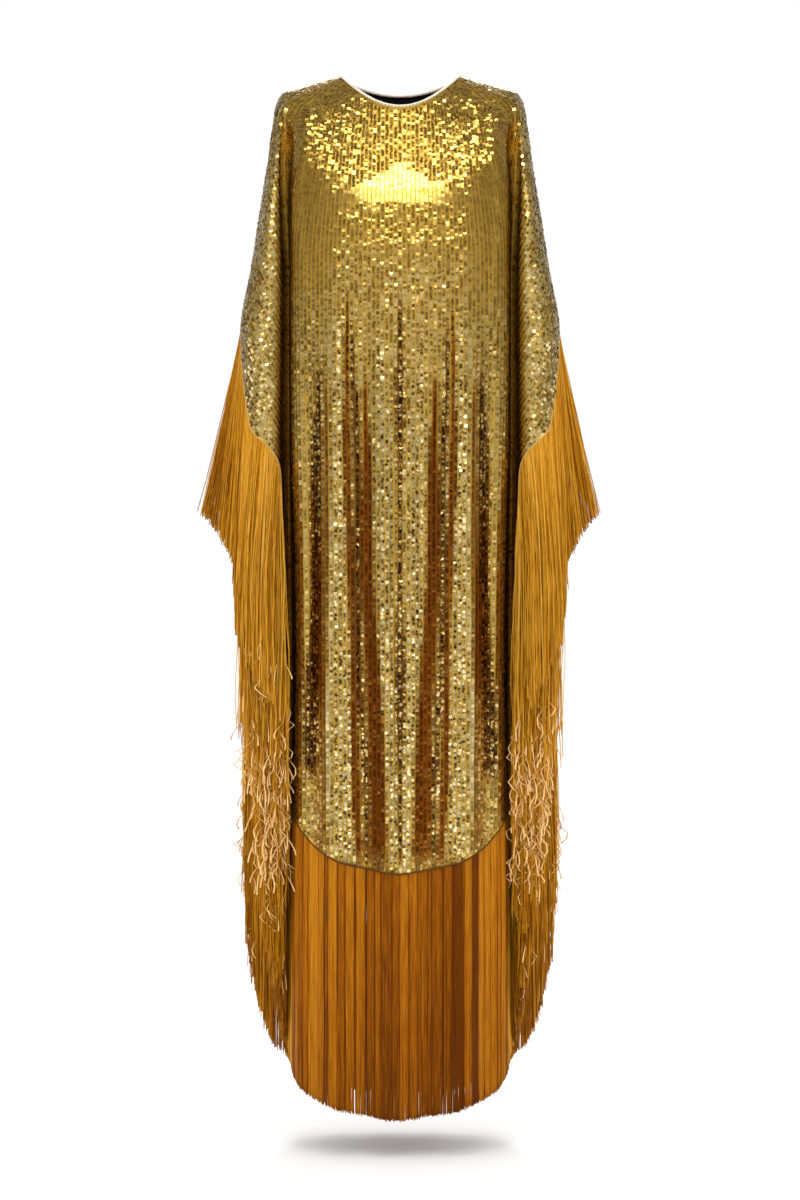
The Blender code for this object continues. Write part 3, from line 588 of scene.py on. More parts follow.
def bands_at(x, z, share, face):
    """(tone, glitter): each band is a flat-topped bell across its slanting line,
    eased in at the top, painted bronze as shade or pale as a highlight. The flanks between body
    and sleeve, and the sides of the chest, are smooth."""
    table = columns(BAND_COLUMNS, FRONT_BANDS if face < 0 else BACK_BANDS)
    across = np.abs(share)
    tone = 0 * x
    glitter = CHEST_GLITTER + (FOLDS_GLITTER - CHEST_GLITTER) * set_in(z, *SPARKLE_Z)
    for top_x, hem_x, top_z, hem_z, narrow, wide, band_painted_light, band_glitter in zip(*table.values()):
        down = np.clip((top_z - z) / (top_z - hem_z), 0, 1)
        middle = top_x + (hem_x - top_x) * down ** BAND_BEND
        middle = middle + BAND_WAVE * np.sin(11 * down + 300 * top_x)
        grown = BAND_START + (1 - BAND_START) * set_in(z, top_z, top_z - BAND_GROWN)
        width = (narrow + (wide - narrow) * down) * grown
        bell = np.exp(-((np.abs(x) - middle) / width) ** 6) * set_in(across, *ON_BODY)
        bell = bell * set_in(z, top_z, top_z - BAND_TOP) * set_in(z, hem_z - BAND_END, hem_z)
        tone = tone + (band_painted_light - tone) * bell
        glitter = glitter + (band_glitter - glitter) * bell
    flank = set_in(across, *ON_FLANK[0]) * set_in(across, *ON_FLANK[1]) * set_in(z, *FLANK_Z)
    sleeve = set_in(across, *ON_SLEEVE)
    # Painted light: sleeves are painted lighter; flanks are painted darker low down, lighter higher
    # up.
    tone = (tone + SLEEVE_PAINTED_LIGHT * sleeve) * (1 - flank) + flank * np.interp(z, *FLANK_PAINTED_LIGHT)
    glitter = (glitter + (SLEEVE_GLITTER - glitter) * sleeve) * (1 - FLANK_CALM * flank)
    chest_side = set_in(np.abs(x), *CHEST_SIDE_X) * set_in(z, *CHEST_SIDE_Z) * (across < 0.5)
    return tone, glitter * (1 - CHEST_SIDE_CALM * chest_side)


def looseness(x, z, share, glitter):
    """How unevenly the sequins tilt, in degrees: most on the chest, least in the bright patch
    across it, at its sides, on plain bands and at the shoulder seam, which is pressed flat."""
    half = np.interp(z, *CHEST_HALF)
    chest = set_in(np.abs(x), half + 0.035, half) * set_in(z, *CHEST_Z)
    half = PATCH_HALF * np.clip((PATCH_TOP - z) / PATCH_TALL, PATCH_NARROW, 1)
    patch = set_in(np.abs(x), half + 0.006, half - 0.006) * (z > PATCH_Z[0]) * (z < PATCH_Z[1])
    loose = EVEN_TILT + GLITTER_TILT * glitter + LOOSE_TILT * chest
    loose = loose + SLEEVE_TILT * set_in(np.abs(share), 0.74, 0.77)
    shoulder = 1 - set_in(z, *BELOW_SHOULDER_Z)
    return loose * (1 - PATCH_CALM * patch) * (1 - SHOULDER_CALM * shoulder)


def glint_tip(x, z):
    """Degrees by which the sequins tip up in the few places that catch the light together."""
    tip = 0 * x
    for middle, level, wide, tall, degrees in zip(*columns(GLINT_COLUMNS, GLINTS).values()):
        gone = ((np.abs(x) - middle) / wide) ** 2 + ((z - level) / tall) ** 2
        tip = tip + degrees * np.exp(-gone ** 2)
    return tip


# ---------------- meshes and materials


def linear(hex_colour):
    """An sRGB hex colour as linear RGBA."""
    parts = [int(hex_colour[at:at + 2], 16) / 255 for at in (1, 3, 5)]
    return [part / 12.92 if part <= 0.04045 else ((part + 0.055) / 1.055) ** 2.4
            for part in parts] + [1.0]


def add_to_scene(name, data):
    """A new object in the scene."""
    made = bpy.data.objects.new(name, data)
    bpy.context.collection.objects.link(made)
    return made


def mesh_piece(name, points, blocks, materials, attributes, uv=None, smooth_faces=True):
    """Add a mesh: `blocks` are (faces as rows of point numbers, material index). An attribute has
    one value for each point or for each run of neighbouring points."""
    mesh = bpy.data.meshes.new(name)
    points = np.asarray(points, dtype=np.float32).reshape(-1, 3)
    corners = np.concatenate([faces.reshape(-1) for faces, _ in blocks])
    sizes = np.concatenate([np.full(len(faces), faces.shape[1]) for faces, _ in blocks])
    slots = np.concatenate([np.full(len(faces), slot) for faces, slot in blocks])
    mesh.vertices.add(len(points))
    mesh.loops.add(len(corners))
    mesh.polygons.add(len(sizes))
    mesh.vertices.foreach_set("co", points.reshape(-1))
    mesh.loops.foreach_set("vertex_index", corners.astype(np.int32))
    mesh.polygons.foreach_set("loop_start", (np.cumsum(sizes) - sizes).astype(np.int32))
    mesh.polygons.foreach_set("material_index", slots.astype(np.int32))
    for finish in materials:
        mesh.materials.append(finish)
    for key, values in attributes.items():
        layer = mesh.attributes.new(key, "FLOAT", "POINT")
        values = np.repeat(values, len(points) // values.size)
        layer.data.foreach_set("value", values.astype(np.float32))
    mesh.update(calc_edges=True)
    if uv is not None:
        layer = mesh.uv_layers.new(name="cloth_metres")
        layer.data.foreach_set("uv", uv[corners].astype(np.float32).reshape(-1))
    mesh.polygons.foreach_set("use_smooth", np.full(len(sizes), smooth_faces))
    piece = add_to_scene(name, mesh)
    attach(piece, "root")
    return piece


def ovals(middle, wide_way, thick_way, half_wide, half_thick, sides, size, first=0.0):
    """Points of an oval round each point of `middle`, at even turns from `first` sides on:
    middle + size * (wide_way * half_wide * cos(turn) + thick_way * half_thick * sin(turn))."""
    turn = 2 * np.pi * (np.arange(sides) + first)[:, None] / sides
    ring = wide_way[..., None, :] * np.cos(turn) * half_wide
    ring = ring + thick_way[..., None, :] * np.sin(turn) * half_thick
    return middle[..., None, :] + ring * np.asarray(size)[..., None, None]


def tube_blocks(lines, stations, sides, closed=False):
    """Faces of tubes whose points are numbered by line, station and side: walls and two caps."""
    index = np.arange(lines * stations * sides).reshape(lines, stations, sides)
    turned = np.roll(index, -1, axis=2)
    walls = np.stack([index, np.roll(index, -1, axis=1), np.roll(turned, -1, axis=1), turned], axis=-1)
    if closed:
        return [(walls.reshape(-1, 4), 0)]
    caps = np.concatenate([index[:, 0], index[:, -1, ::-1]])
    return [(walls[:, :-1].reshape(-1, 4), 0), (caps, 0)]


def join(tree, target, **links):
    """Set inputs of a node: a value is an output socket to link or a constant."""
    for key, value in links.items():
        socket = target.inputs[int(key[1:]) if key[1:].isdigit() else key.replace("_", " ")]
        if isinstance(value, bpy.types.NodeSocket):
            tree.links.new(value, socket)
        else:
            socket.default_value = value


def node(tree, kind, settings=None, **links):
    """Add a node with its settings and links; n0, n1 and n2 are inputs by number."""
    made = tree.nodes.new(kind)
    for key, value in (settings or {}).items():
        setattr(made, key, value)
    join(tree, made, **links)
    return made


def material(name):
    """(material, its node tree, its shader)"""
    made = bpy.data.materials.new(name)
    made.use_nodes = True
    return made, made.node_tree, made.node_tree.nodes["Principled BSDF"]


def ramp(tree, factor, stops):
    """A colour ramp from (place, hex colour) stops."""
    made = node(tree, "ShaderNodeValToRGB", Fac=factor)
    points = made.color_ramp.elements
    while len(points) < len(stops):
        points.new(0.5)
    for point, (place, colour) in zip(points, stops):
        point.position = place
        point.color = linear(colour)
    return made.outputs["Color"]


def attribute(tree, name):
    """The number stored under `name` on the piece."""
    return node(tree, "ShaderNodeAttribute", {"attribute_name": name}).outputs["Fac"]


def in_space(tree):
    """Object coordinates, metres."""
    return node(tree, "ShaderNodeTexCoord").outputs["Object"]


def on_cloth(tree):
    """UV coordinates of the cloth, metres."""
    return node(tree, "ShaderNodeUVMap", {"uv_map": "cloth_metres"}).outputs["UV"]


def noise(tree, place, scale, detail=2.0):
    """Soft noise with cells 1 / scale metres wide."""
    made = node(tree, "ShaderNodeTexNoise", Vector=place, Scale=scale, Detail=detail)
    return made.outputs["Fac"]


def scaled(tree, value, by, plus, clamp=False):
    """value * by + plus"""
    settings = {"operation": "MULTIPLY_ADD", "use_clamp": clamp}
    return node(tree, "ShaderNodeMath", settings, n0=value, n1=by, n2=plus).outputs[0]


def added(tree, first, second):
    """first + second"""
    return node(tree, "ShaderNodeMath", {"operation": "ADD"}, n0=first, n1=second).outputs[0]


def mix(tree, factor, first, second, blend="MIX"):
    """Blend of two colours by `factor`."""
    settings = {"data_type": "RGBA", "blend_type": blend}
    return node(tree, "ShaderNodeMix", settings, Factor=factor, A=first, B=second).outputs["Result"]


def bump(tree, height, strength, depth):
    """A normal tipped by `height`, up to `depth` metres deep."""
    made = node(tree, "ShaderNodeBump", Height=height, Strength=strength, Distance=depth)
    return made.outputs["Normal"]


def gold_of_painted_light(tree):
    """Gold by painted light and shade: bronze orange as painted shade, olive gold, pale gold as a
    highlight.
    """
    place = scaled(tree, attribute(tree, "tone"), 0.5, 0.5)
    return ramp(tree, place, [(0.0, "#8a4404"), (0.25, "#b07216"), (0.5, "#dab046"),
                              (0.75, "#e4c468"), (1.0, "#f6e4a8")])


def sequin_film():
    """Metallised PET film, punched: mirror-like gold, with painted glints and painted shade, light and
    dark, where the discs stand up.
    """
    made, tree, shader = material("metallised film sequins")
    # Dimples of the film, 1.6 mm across: they bump the film and pattern its painted glints and specks.
    dimples = noise(tree, in_space(tree), 620.0, 1.0)
    lean = scaled(tree, attribute(tree, "tone"), 0.45, attribute(tree, "tint"))
    place = added(tree, scaled(tree, dimples, 2.2, -1.1), lean)
    # Painted glints and painted shade: glittering sequins are coloured from near black to pale cream
    # by dimples, band and a random pick.
    painted_glints_and_shade = ramp(tree, place, [(0.0, "#1c1206"), (0.22, "#74500c"), (0.5, "#d2a642"),
                                    (0.75, "#f6de96"), (1.0, "#fff8d0")])
    grain = ramp(tree, place, [(0.1, "#ccc6ba"), (0.9, "#ffffff")])
    # The gold carries the bands' painted light and shade: bronze as shade, pale gold as highlight.
    plain = mix(tree, 1.0, gold_of_painted_light(tree), grain, "MULTIPLY")
    # The clear film over the metal turns what is lit a paler yellow, but not on bronze bands.
    clear = scaled(tree, attribute(tree, "tone"), 0.42, 0.42, clamp=True)
    join(tree, shader, Base_Color=mix(tree, attribute(tree, "glitter"), plain, painted_glints_and_shade),
         Normal=bump(tree, dimples, 0.12, 0.0005), Metallic=1.0, Roughness=0.20,
         Coat_Weight=clear, Coat_IOR=1.7, Coat_Roughness=0.18)
    return made


def knit_backing():
    """Fine polyester jersey under the sequins, foil-printed the same gold, seen between the rows."""
    made, tree, shader = material("gold foiled jersey backing")
    place = on_cloth(tree)
    shade = ramp(tree, noise(tree, place, 420.0, 3.0), [(0.3, "#b8ac94"), (0.7, "#ffffff")])
    # The backing's gold carries the same painted light and shade of the bands.
    lit = mix(tree, 0.6, gold_of_painted_light(tree), shade, "MULTIPLY")
    # Painted shadow: between sequins that stand up on a dark band, the cloth is painted dark brown.
    painted_shadow = scaled(tree, attribute(tree, "shadow"), 0.9, 0.0, clamp=True)
    # Wales 3 mm apart: real ones are under 1 mm, too fine to show.
    wales = node(tree, "ShaderNodeTexWave", {"bands_direction": "X"}, Vector=place, Scale=100.0,
                 Distortion=1.5, Detail=1.0)
    join(tree, shader, Base_Color=mix(tree, painted_shadow, lit, linear("#241a0c")),
         Normal=bump(tree, wales.outputs["Fac"], 0.3, 0.0003), Metallic=0.9, Roughness=0.42)
    return made


def clouded(name, place, scale, dark, light, **values):
    """A finish with soft clouds between two colours, in cells 1 / scale metres wide."""
    made, tree, shader = material(name)
    base = ramp(tree, noise(tree, place(tree), scale), [(0.3, dark), (0.7, light)])
    join(tree, shader, Base_Color=base, **values)
    return made


def silk_yarn(name, dark, middle, light, tip):
    """Filament silk yarn, dyed amber: streaked with painted sheen and a gloss of its own gold, pale
    where it frays.
    """
    made, tree, shader = material(name)
    place = in_space(tree)
    # Painted sheen: streaks 1.5 mm wide and 40 mm long, lighter and darker as bundles of filaments
    # turn over.
    stretched = node(tree, "ShaderNodeMapping", Vector=place, Scale=(650.0, 650.0, 24.0))
    painted_sheen_streaks = scaled(tree, noise(tree, stretched.outputs[0], 1.0), 1.1, -0.55)
    body = ramp(tree, added(tree, painted_sheen_streaks, attribute(tree, "tone")),
                [(0.0, dark), (0.5, middle), (1.0, light)])
    # Twist of the yarn, a turn every 4.5 mm down it: real turns are 2 to 3 mm apart.
    twist = node(tree, "ShaderNodeTexWave", {"bands_direction": "DIAGONAL"}, Vector=place,
                 Scale=140.0, Distortion=2.0)
    join(tree, shader, Base_Color=mix(tree, attribute(tree, "fray"), body, linear(tip)),
         Normal=bump(tree, twist.outputs["Fac"], 0.25, 0.0002), Roughness=0.45,
         Specular_IOR_Level=0.35, Specular_Tint=linear("#ffc860"))
    return made


def heading_braid():
    """Woven heading of the fringe: viscose chain, pale gold up the sleeves, dull gold at the hem."""
    made, tree, shader = material("gold fringe heading")
    beat = node(tree, "ShaderNodeMath", {"operation": "SINE"}, n0=attribute(tree, "along"))
    pale = ramp(tree, beat.outputs[0], [(0.0, "#b07c34"), (0.6, "#dcb268"), (1.0, "#f2d694")])
    dull = ramp(tree, beat.outputs[0], [(0.0, "#3a2006"), (0.6, "#6e4410"), (1.0, "#8e6020")])
    join(tree, shader, Base_Color=mix(tree, attribute(tree, "pale"), dull, pale), Roughness=0.6,
         Specular_IOR_Level=0.2)
    return made


# ---------------- cloth


def edge_line(face):
    """(share, drop) of the line a seam's width inside the free edge, its shares in order."""
    share, drop = edge_inset(np.linspace(-1, 1, EDGE_STEPS), face, EDGE_SEAM)
    order = np.argsort(share)
    return share[order], drop[order]


def cloth_grid(face):
    """(share, drop) of the shell's grid: columns even along a section, rows even down to the edge."""
    fine = np.linspace(0, 1, 2001)
    gone = lengths_along(cloth(fine, RING_END + 0.30, face))
    # The edge climbs steeply beside the flaps, so columns crowd there too.
    climb = np.abs(np.gradient(edge_drop(fine, face), fine))
    gone = gone + 0.10 * np.cumsum(climb) * (fine[1] - fine[0])
    half = np.interp(np.linspace(0, gone[-1], HALF_COLUMNS + 1), gone, fine)
    share = np.concatenate([-half[:0:-1], half])
    bottom = np.interp(share, *edge_line(face))
    down = np.linspace(0, 1, CLOTH_ROWS + 1)[:, None]
    drop = SHELL_TOP + (bottom - SHELL_TOP) * down
    return np.broadcast_to(share, drop.shape), drop


def cloth_shell(name, face, outer_material, inner_material):
    """The creased cloth as a thin closed shell: a grid moved out and in, joined at its rims."""
    share, drop = cloth_grid(face)
    middle, normal, _, _ = worn_frame(share, drop, face)
    points = np.stack([middle + normal * SHELL / 2, middle - normal * SHELL / 2])
    count = share.size
    index = np.arange(count).reshape(share.shape)
    quads = np.stack([index[:-1, :-1], index[:-1, 1:], index[1:, 1:], index[1:, :-1]], axis=-1)
    quads = quads.reshape(-1, 4)[:, ::-face]
    ring = np.concatenate([index[0, :-1], index[:-1, -1], index[-1, :0:-1], index[:0:-1, 0]])
    after = np.roll(ring, -1)
    rim = np.stack([ring, ring + count, after + count, after], axis=-1)[:, ::face]
    # The bands' painted light and shade; painted shadow where dark bands glitter, for the backing
    # between the sequins.
    tone, glitter = bands_at(middle[..., 0], middle[..., 2], share, face)
    shadow = np.clip(glitter * -tone, 0, 1)
    values = {"tone": np.stack([tone, tone]), "shadow": np.stack([shadow, shadow])}
    # A share is about half a metre round the section.
    metres = np.stack([share * 0.5, drop], axis=-1).reshape(-1, 2)
    return mesh_piece(name, points, [(quads, 0), (quads[:, ::-1] + count, 1), (rim, 0)],
                      [outer_material, inner_material], values, np.tile(metres, (2, 1)))


# ---------------- sequins


def section_lengths(face):
    """(drops, shares, length from the middle round to each share, for each drop)."""
    deepest = float(edge_drop(np.array([0.0]), face)[0])
    drops = np.linspace(0.0, deepest, 360)
    shares = np.linspace(0, 1, 181)
    points = cloth(shares[None, :], drops[:, None], face)
    steps = np.linalg.norm(np.diff(points, axis=1), axis=2)
    lengths = np.concatenate([np.zeros((len(drops), 1)), np.cumsum(steps, axis=1)], axis=1)
    return drops, shares, lengths


def share_at(length, drop, sections):
    """The share that lies `length` round from the middle at `drop`; above 1 if past the arm."""
    drops, shares, lengths = sections
    place = np.clip(drop / (drops[1] - drops[0]), 0, len(drops) - 1.001)
    row = place.astype(int)
    part = (place - row)[:, None]
    here = lengths[row] * (1 - part) + lengths[row + 1] * part
    column = np.clip((here < length[:, None]).sum(axis=1), 1, len(shares) - 1)
    low = np.take_along_axis(here, column[:, None] - 1, 1)[:, 0]
    high = np.take_along_axis(here, column[:, None], 1)[:, 0]
    found = shares[column - 1] + (length - low) / (high - low) * (shares[1] - shares[0])
    return np.where(length > here[:, -1], 2.0, found)


def body_places(face, sections):
    """Sequin places on upright rows: rows a pitch apart round the body, down each by its length."""
    drops, shares, lengths = sections
    widest = lengths[:, np.searchsorted(shares, SEAM_SHARE)].max()
    found = []
    for row in range(int(widest / ROW_PITCH) + 1):
        share = share_at(np.full(len(drops), row * ROW_PITCH), drops, sections)
        ok = (share <= SEAM_SHARE) & (drops > BODY_TOP)
        if ok.sum() < 4:
            continue
        share, drop = share[ok], drops[ok]
        gone = lengths_along(cloth(share, drop, face))
        for side in ((1,) if row == 0 else (-1, 1)):
            at = np.arange(rng.uniform(0, SEQUIN_PITCH), gone[-1], SEQUIN_PITCH)
            found.append(np.stack([side * np.interp(at, gone, share), np.interp(at, gone, drop)]))
    return np.concatenate(found, axis=1)


def sleeve_places(face, sections):
    """Sequin places on the sleeve: the same rows, slanting down and in as the cloth swings over."""
    drops, _, lengths = sections
    gone = lengths_along(cloth(np.ones(len(drops)), drops, face))
    slant = np.radians(SLEEVE_SLANT)
    reach = 1.6
    p, q = np.meshgrid(np.arange(-reach, reach, SEQUIN_PITCH), np.arange(-reach, reach, ROW_PITCH))
    p = p + rng.uniform(0, SEQUIN_PITCH, (p.shape[0], 1))
    inward = (p * np.cos(slant) - q * np.sin(slant)).reshape(-1)
    down = (p * np.sin(slant) + q * np.cos(slant)).reshape(-1)
    ok = (inward > HEM_CLEAR) & (inward < SLEEVE_DEEP) & (down > HEM_CLEAR) & (down < gone[-1])
    drop = np.interp(down[ok], gone, drops)
    share = share_at(np.interp(drop, drops, lengths[:, -1]) - inward[ok], drop, sections)
    ok = (share > SLEEVE_SHARES[0]) & (share < SLEEVE_SHARES[1]) & (drop > SLEEVE_TOP)
    return np.concatenate([np.stack([side * share[ok], drop[ok]]) for side in (-1, 1)], axis=1)


def sequin_piece(name, face, film):
    """Small six-sided discs on the cloth, each tilted as it laps the next, a little unevenly."""
    sections = section_lengths(face)
    share, drop = np.concatenate([body_places(face, sections), sleeve_places(face, sections)], axis=1)
    keep = drop < np.interp(share, *edge_line(face)) - HEM_CLEAR
    share, drop = share[keep], drop[keep]
    point, normal, down, across = worn_frame(share, drop, face)
    count = len(share)
    x, z = point[:, 0], point[:, 2]
    tone, glitter = bands_at(x, z, share, face)
    loose = looseness(x, z, share, glitter)
    lap = np.radians(LAP_TILT + glint_tip(x, z) + loose * rng.standard_normal(count))[:, None]
    roll = np.radians(loose * rng.standard_normal(count))[:, None]
    facing = unit(normal - down * np.tan(lap) + across * np.tan(roll))
    aside = square_to(across, facing)
    size = rng.uniform(0.94, 1.04, count)
    stray = (STRAY[0] + (STRAY[1] - STRAY[0]) * glitter)[:, None] * rng.uniform(-1, 1, (count, 2))
    lift = SEQUIN_LIFT + 0.0003 * rng.uniform(-1, 1, (count, 1))
    point = point + across * stray[:, :1] + down * stray[:, 1:] + normal * lift
    points = ovals(point, aside, np.cross(facing, aside), SEQUIN_RADIUS, SEQUIN_RADIUS,
                   SEQUIN_SIDES, size, first=0.5)
    faces = np.arange(count * SEQUIN_SIDES).reshape(count, SEQUIN_SIDES)
    # Each sequin carries the bands' painted light and shade, its glitter, and a random tint that also
    # picks its painted glint.
    values = {"tone": tone, "glitter": glitter, "tint": rng.uniform(0, 1, count)}
    return mesh_piece(name, points, [(faces, 0)], [film], values, smooth_faces=False)


# ---------------- fringe


def yarn_roots(start, end, face, pitch):
    """(share, tone) of the yarns: even along the free edge and jittered by half
    their pitch, then drawn together into locks, which differ at random in colour, are painted in
    shade towards their sides, and part a little."""
    fine, gone = edge_run(start, end, face)
    count = int(gone[-1] / pitch)
    at = (np.arange(count) + 0.5 + rng.uniform(-0.45, 0.45, count)) * gone[-1] / count
    locks = max(int(gone[-1] / LOCK_WIDTH), 1)
    edges = np.linspace(0, gone[-1], locks + 1)
    edges[1:-1] += rng.uniform(-0.35, 0.35, locks - 1) * LOCK_WIDTH
    lock = np.clip(np.searchsorted(edges, at) - 1, 0, locks - 1)
    middle = (edges[lock] + edges[lock + 1]) / 2
    wide = edges[lock + 1] - edges[lock]
    parted = (rng.uniform(0, 1, locks) < PARTED_LOCKS)[lock] * LOCK_PARTING
    drawn = middle + (at - middle) * (1 - parted / wide)
    hem = int(start == -HEM_SHARE)
    tone = YARN_TONE + LOCK_SPREAD[hem] * rng.normal(0, 1, locks)[lock]
    tone = tone + YARN_SPREAD[hem] * rng.normal(0, 1, count)
    # Painted shade: yarns towards the sides of a lock are darker, as if the lock were round.
    tone = tone - LOCK_SIDE_PAINTED_SHADE[hem] * ((at - middle) / wide * 2) ** 10
    share = np.interp(drawn, gone, fine)
    across = np.abs(share)
    tone = tone + LOOSE_LIGHTER * set_in(across, *LOOSE[0]) * set_in(across, *LOOSE[1])
    return share, np.clip(tone - CUFF_DARKER * set_in(across, *CUFF), 0, 1)


def sway(line, part, scatter):
    """Move each yarn by a slow wave and by a drift from its place, both growing from its root."""
    one_each = scatter.shape
    soft = np.minimum(part * 2.5, 1) * (scatter / 0.0032 + 0.12)
    beat = rng.uniform(*SWAY_BEATS, one_each)
    for axis in (0, 1):
        wave = np.sin(beat * part + rng.uniform(0, 2 * np.pi, one_each))
        line[..., axis] += rng.uniform(0.3, 1.0, one_each) * SWAY * wave * soft
        astray = np.clip(rng.normal(0, 1, one_each), -1.8, 1.8) * scatter
        line[..., axis] += astray * np.minimum(part * 1.6, 1)


def bend_tips(line, part, curled):
    """Throw the curled tips in a hook to one side and back; returns the part of the way through
    its tip that each station is."""
    one_each = curled.shape
    bend = np.clip((part - TIP_START) / (1 - TIP_START), 0, 1)
    way = rng.uniform(0, 2 * np.pi, one_each)
    throw = curled * rng.uniform(0.3, 1.0, one_each) * TIP_THROW
    hook = throw * np.sin(bend * rng.uniform(1.0, 4.2, one_each))
    line[..., 0] += hook * np.cos(way)
    line[..., 1] += hook * np.sin(way)
    line[..., 2] += throw * bend ** 2 * rng.uniform(-0.3, 0.8, one_each)
    return bend


def yarn_piece(name, start, end, face, yarn, pitch):
    """Three-sided yarns hung from the free edge: each leans out as its solid lock does, settles
    to the fall, sways in a slow wave, and where the fringe is loose ends in a bent, frayed tip."""
    share, tone = yarn_roots(start, end, face, pitch)
    count = len(share)
    across = np.abs(share)
    side = np.where(share < 0, -1.0, 1.0)
    table = columns(FRINGE_COLUMNS, FRINGE)
    hung = "front_" if face < 0 else "back_"
    settle, early, length, outward, forward = (
        smooth(table["share"], table[key], across)
        for key in ("settle", "early", hung + "length", hung + "outward", hung + "forward"))
    tidy = columns(TIDY_COLUMNS, TIDY)
    scatter, fan, curl = (np.interp(across, tidy["share"], tidy[key])
                          for key in ("scatter", "fan", "curl"))
    inset_share, inset_drop = edge_inset(share, face, rng.uniform(0.0, ROOT_INSET, count))
    root = worn(np.clip(inset_share, -1, 1), inset_drop, face)
    outward = outward * (1 + fan * rng.uniform(*FAN_OUTWARD, count))
    forward = forward * (1 + fan * rng.uniform(*FAN_FORWARD, count))
    tip_z = root[:, 2] - length
    thick = set_in(tip_z, CURL_TOP, CURL_TOP - CURL_FADE)
    thick = thick * set_in(tip_z, CURL_END - CURL_FADE, CURL_END)
    often = (THIN_CURLS + (THICK_CURLS - THIN_CURLS) * thick) * (1 if face < 0 else BACK_CURLS)
    curled = curl * (rng.uniform(0, 1, count) < often)
    length = length * (1 - 0.16 * curled * rng.uniform(0, 1, count) ** 1.5)
    length = length + rng.normal(0, 0.0010, count)
    lean = np.stack([side * outward, face * forward, 0 * side], axis=-1)
    fall = np.sqrt(length ** 2 - outward ** 2 - forward ** 2)
    part = np.array(YARN_STATIONS)[None, :]
    moved = np.minimum(part / settle[:, None], 1.0)
    reach = moved * (1 + early[:, None] * (1 - moved))
    line = root[:, None] + lean[:, None] * reach[..., None]
    line[..., 2] -= fall[:, None] * part
    sway(line, part, scatter[:, None])
    bend = bend_tips(line, part, curled[:, None])
    # Front and back meet at the side seam and over the arm.
    meet = set_in(np.abs(across - SEAM_SHARE), 0.03, 0) + set_in(across, 0.97, 1.0)
    line[..., 1] -= face * (meet * rng.uniform(*MEET, count))[:, None] * (0.4 + 0.6 * part)
    radius = YARN_WIDTH / 2 * rng.uniform(0.8, 1.15, (count, 1)) * (1 - 0.15 * part)
    radius = radius * (1 + 0.8 * np.minimum(curled, 1)[:, None] * bend)
    turn = np.arange(YARN_SIDES) / YARN_SIDES * 2 * np.pi + rng.uniform(0, 2 * np.pi, (count, 1))
    ring = np.stack([np.cos(turn), np.sin(turn), 0 * turn], axis=-1)
    points = line[:, :, None] + ring[:, None] * radius[..., None, None]
    fray = np.clip(2 * curled, 0, 1)[:, None] * set_in(part, TIP_START, YARN_STATIONS[-3])
    shade = tone[:, None] - np.interp(across, *TIP_SHADE)[:, None] * part
    blocks = tube_blocks(count, len(YARN_STATIONS), YARN_SIDES)
    return mesh_piece(name, points, blocks, [yarn], {"tone": shade, "fray": fray})


def braid_piece(name, start, end, face, finish):
    """Heading of the fringe: a flat oval carried along the free edge, ridged by its stitches."""
    fine, gone = edge_run(start, end, face)
    at = np.linspace(0, gone[-1], int(gone[-1] / CHAIN_STEP))
    share = np.interp(at, gone, fine)
    inset_share, inset_drop = edge_inset(share, face, CHAIN_INSET)
    middle, normal, _, _ = worn_frame(np.clip(inset_share, -1, 1), inset_drop, face)
    aside = unit(np.cross(normal, unit(np.gradient(middle, axis=0))))
    beat = 2 * np.pi * at / CHAIN_PITCH
    points = ovals(middle + normal * 0.0006, aside, -normal, CORD_HALF_WIDE, CHAIN_HALF_THICK,
                   CORD_SIDES, 1 + 0.22 * np.sin(beat))
    values = {"along": beat, "pale": set_in(np.abs(share), 0.58, 0.64)}
    return mesh_piece(name, points, tube_blocks(1, len(at), CORD_SIDES), [finish], values)


def seam_cord(name, share, start, end, finish):
    """Overlocked seam: a flat cord midway between front and back, ridged by its stitches."""
    drop = np.linspace(start, end, int((end - start) / OVERLOCK_STEP))
    front, back = (worn_frame(share + 0 * drop, drop, face)[0] for face in (-1, 1))
    middle = (front + back) / 2
    ahead = unit(np.gradient(middle, axis=0))
    aside = square_to(np.array([0.0, 1.0, 0.0]), ahead)
    points = ovals(middle, aside, np.cross(aside, ahead), CORD_HALF_WIDE, OVERLOCK_HALF_THICK,
                   CORD_SIDES, 1 + 0.12 * np.sin(2 * np.pi * drop / OVERLOCK_PITCH))
    return mesh_piece(name, points, tube_blocks(1, len(drop), CORD_SIDES), [finish], {})


# ---------------- neck


def neck_ways():
    """(line, ahead, inward, upward) round the neck edge."""
    share = np.sin(np.pi * (np.linspace(0, 1, NECK_STEPS // 2 + 1) - 0.5))
    line = np.concatenate([cloth(share, 0.0, -1)[:-1], cloth(-share, 0.0, 1)[:-1]])
    line[:, 1] = np.where(np.abs(line[:, 1]) < SEAM_GAP, 0, line[:, 1])
    ahead = unit(np.roll(line, -1, axis=0) - np.roll(line, 1, axis=0))
    inward = -line
    inward[:, 2] = BINDING_RISE
    inward = square_to(inward, ahead)
    return line, ahead, inward, np.cross(ahead, inward)


def neck_binding(name, finish):
    """Satin binding: an oval carried round the neck edge, rippled a little as it is stitched."""
    line, _, inward, upward = neck_ways()
    ripple = 1 + 0.03 * np.sin(2 * np.pi * np.arange(NECK_STEPS) / STEPS_A_RIPPLE)
    points = ovals(line + inward * BINDING_LIFT, inward, upward, BINDING_WIDE / 2,
                   BINDING_THICK / 2, BINDING_SIDES, ripple)
    return mesh_piece(name, points, tube_blocks(1, NECK_STEPS, BINDING_SIDES, True), [finish],
                      {})


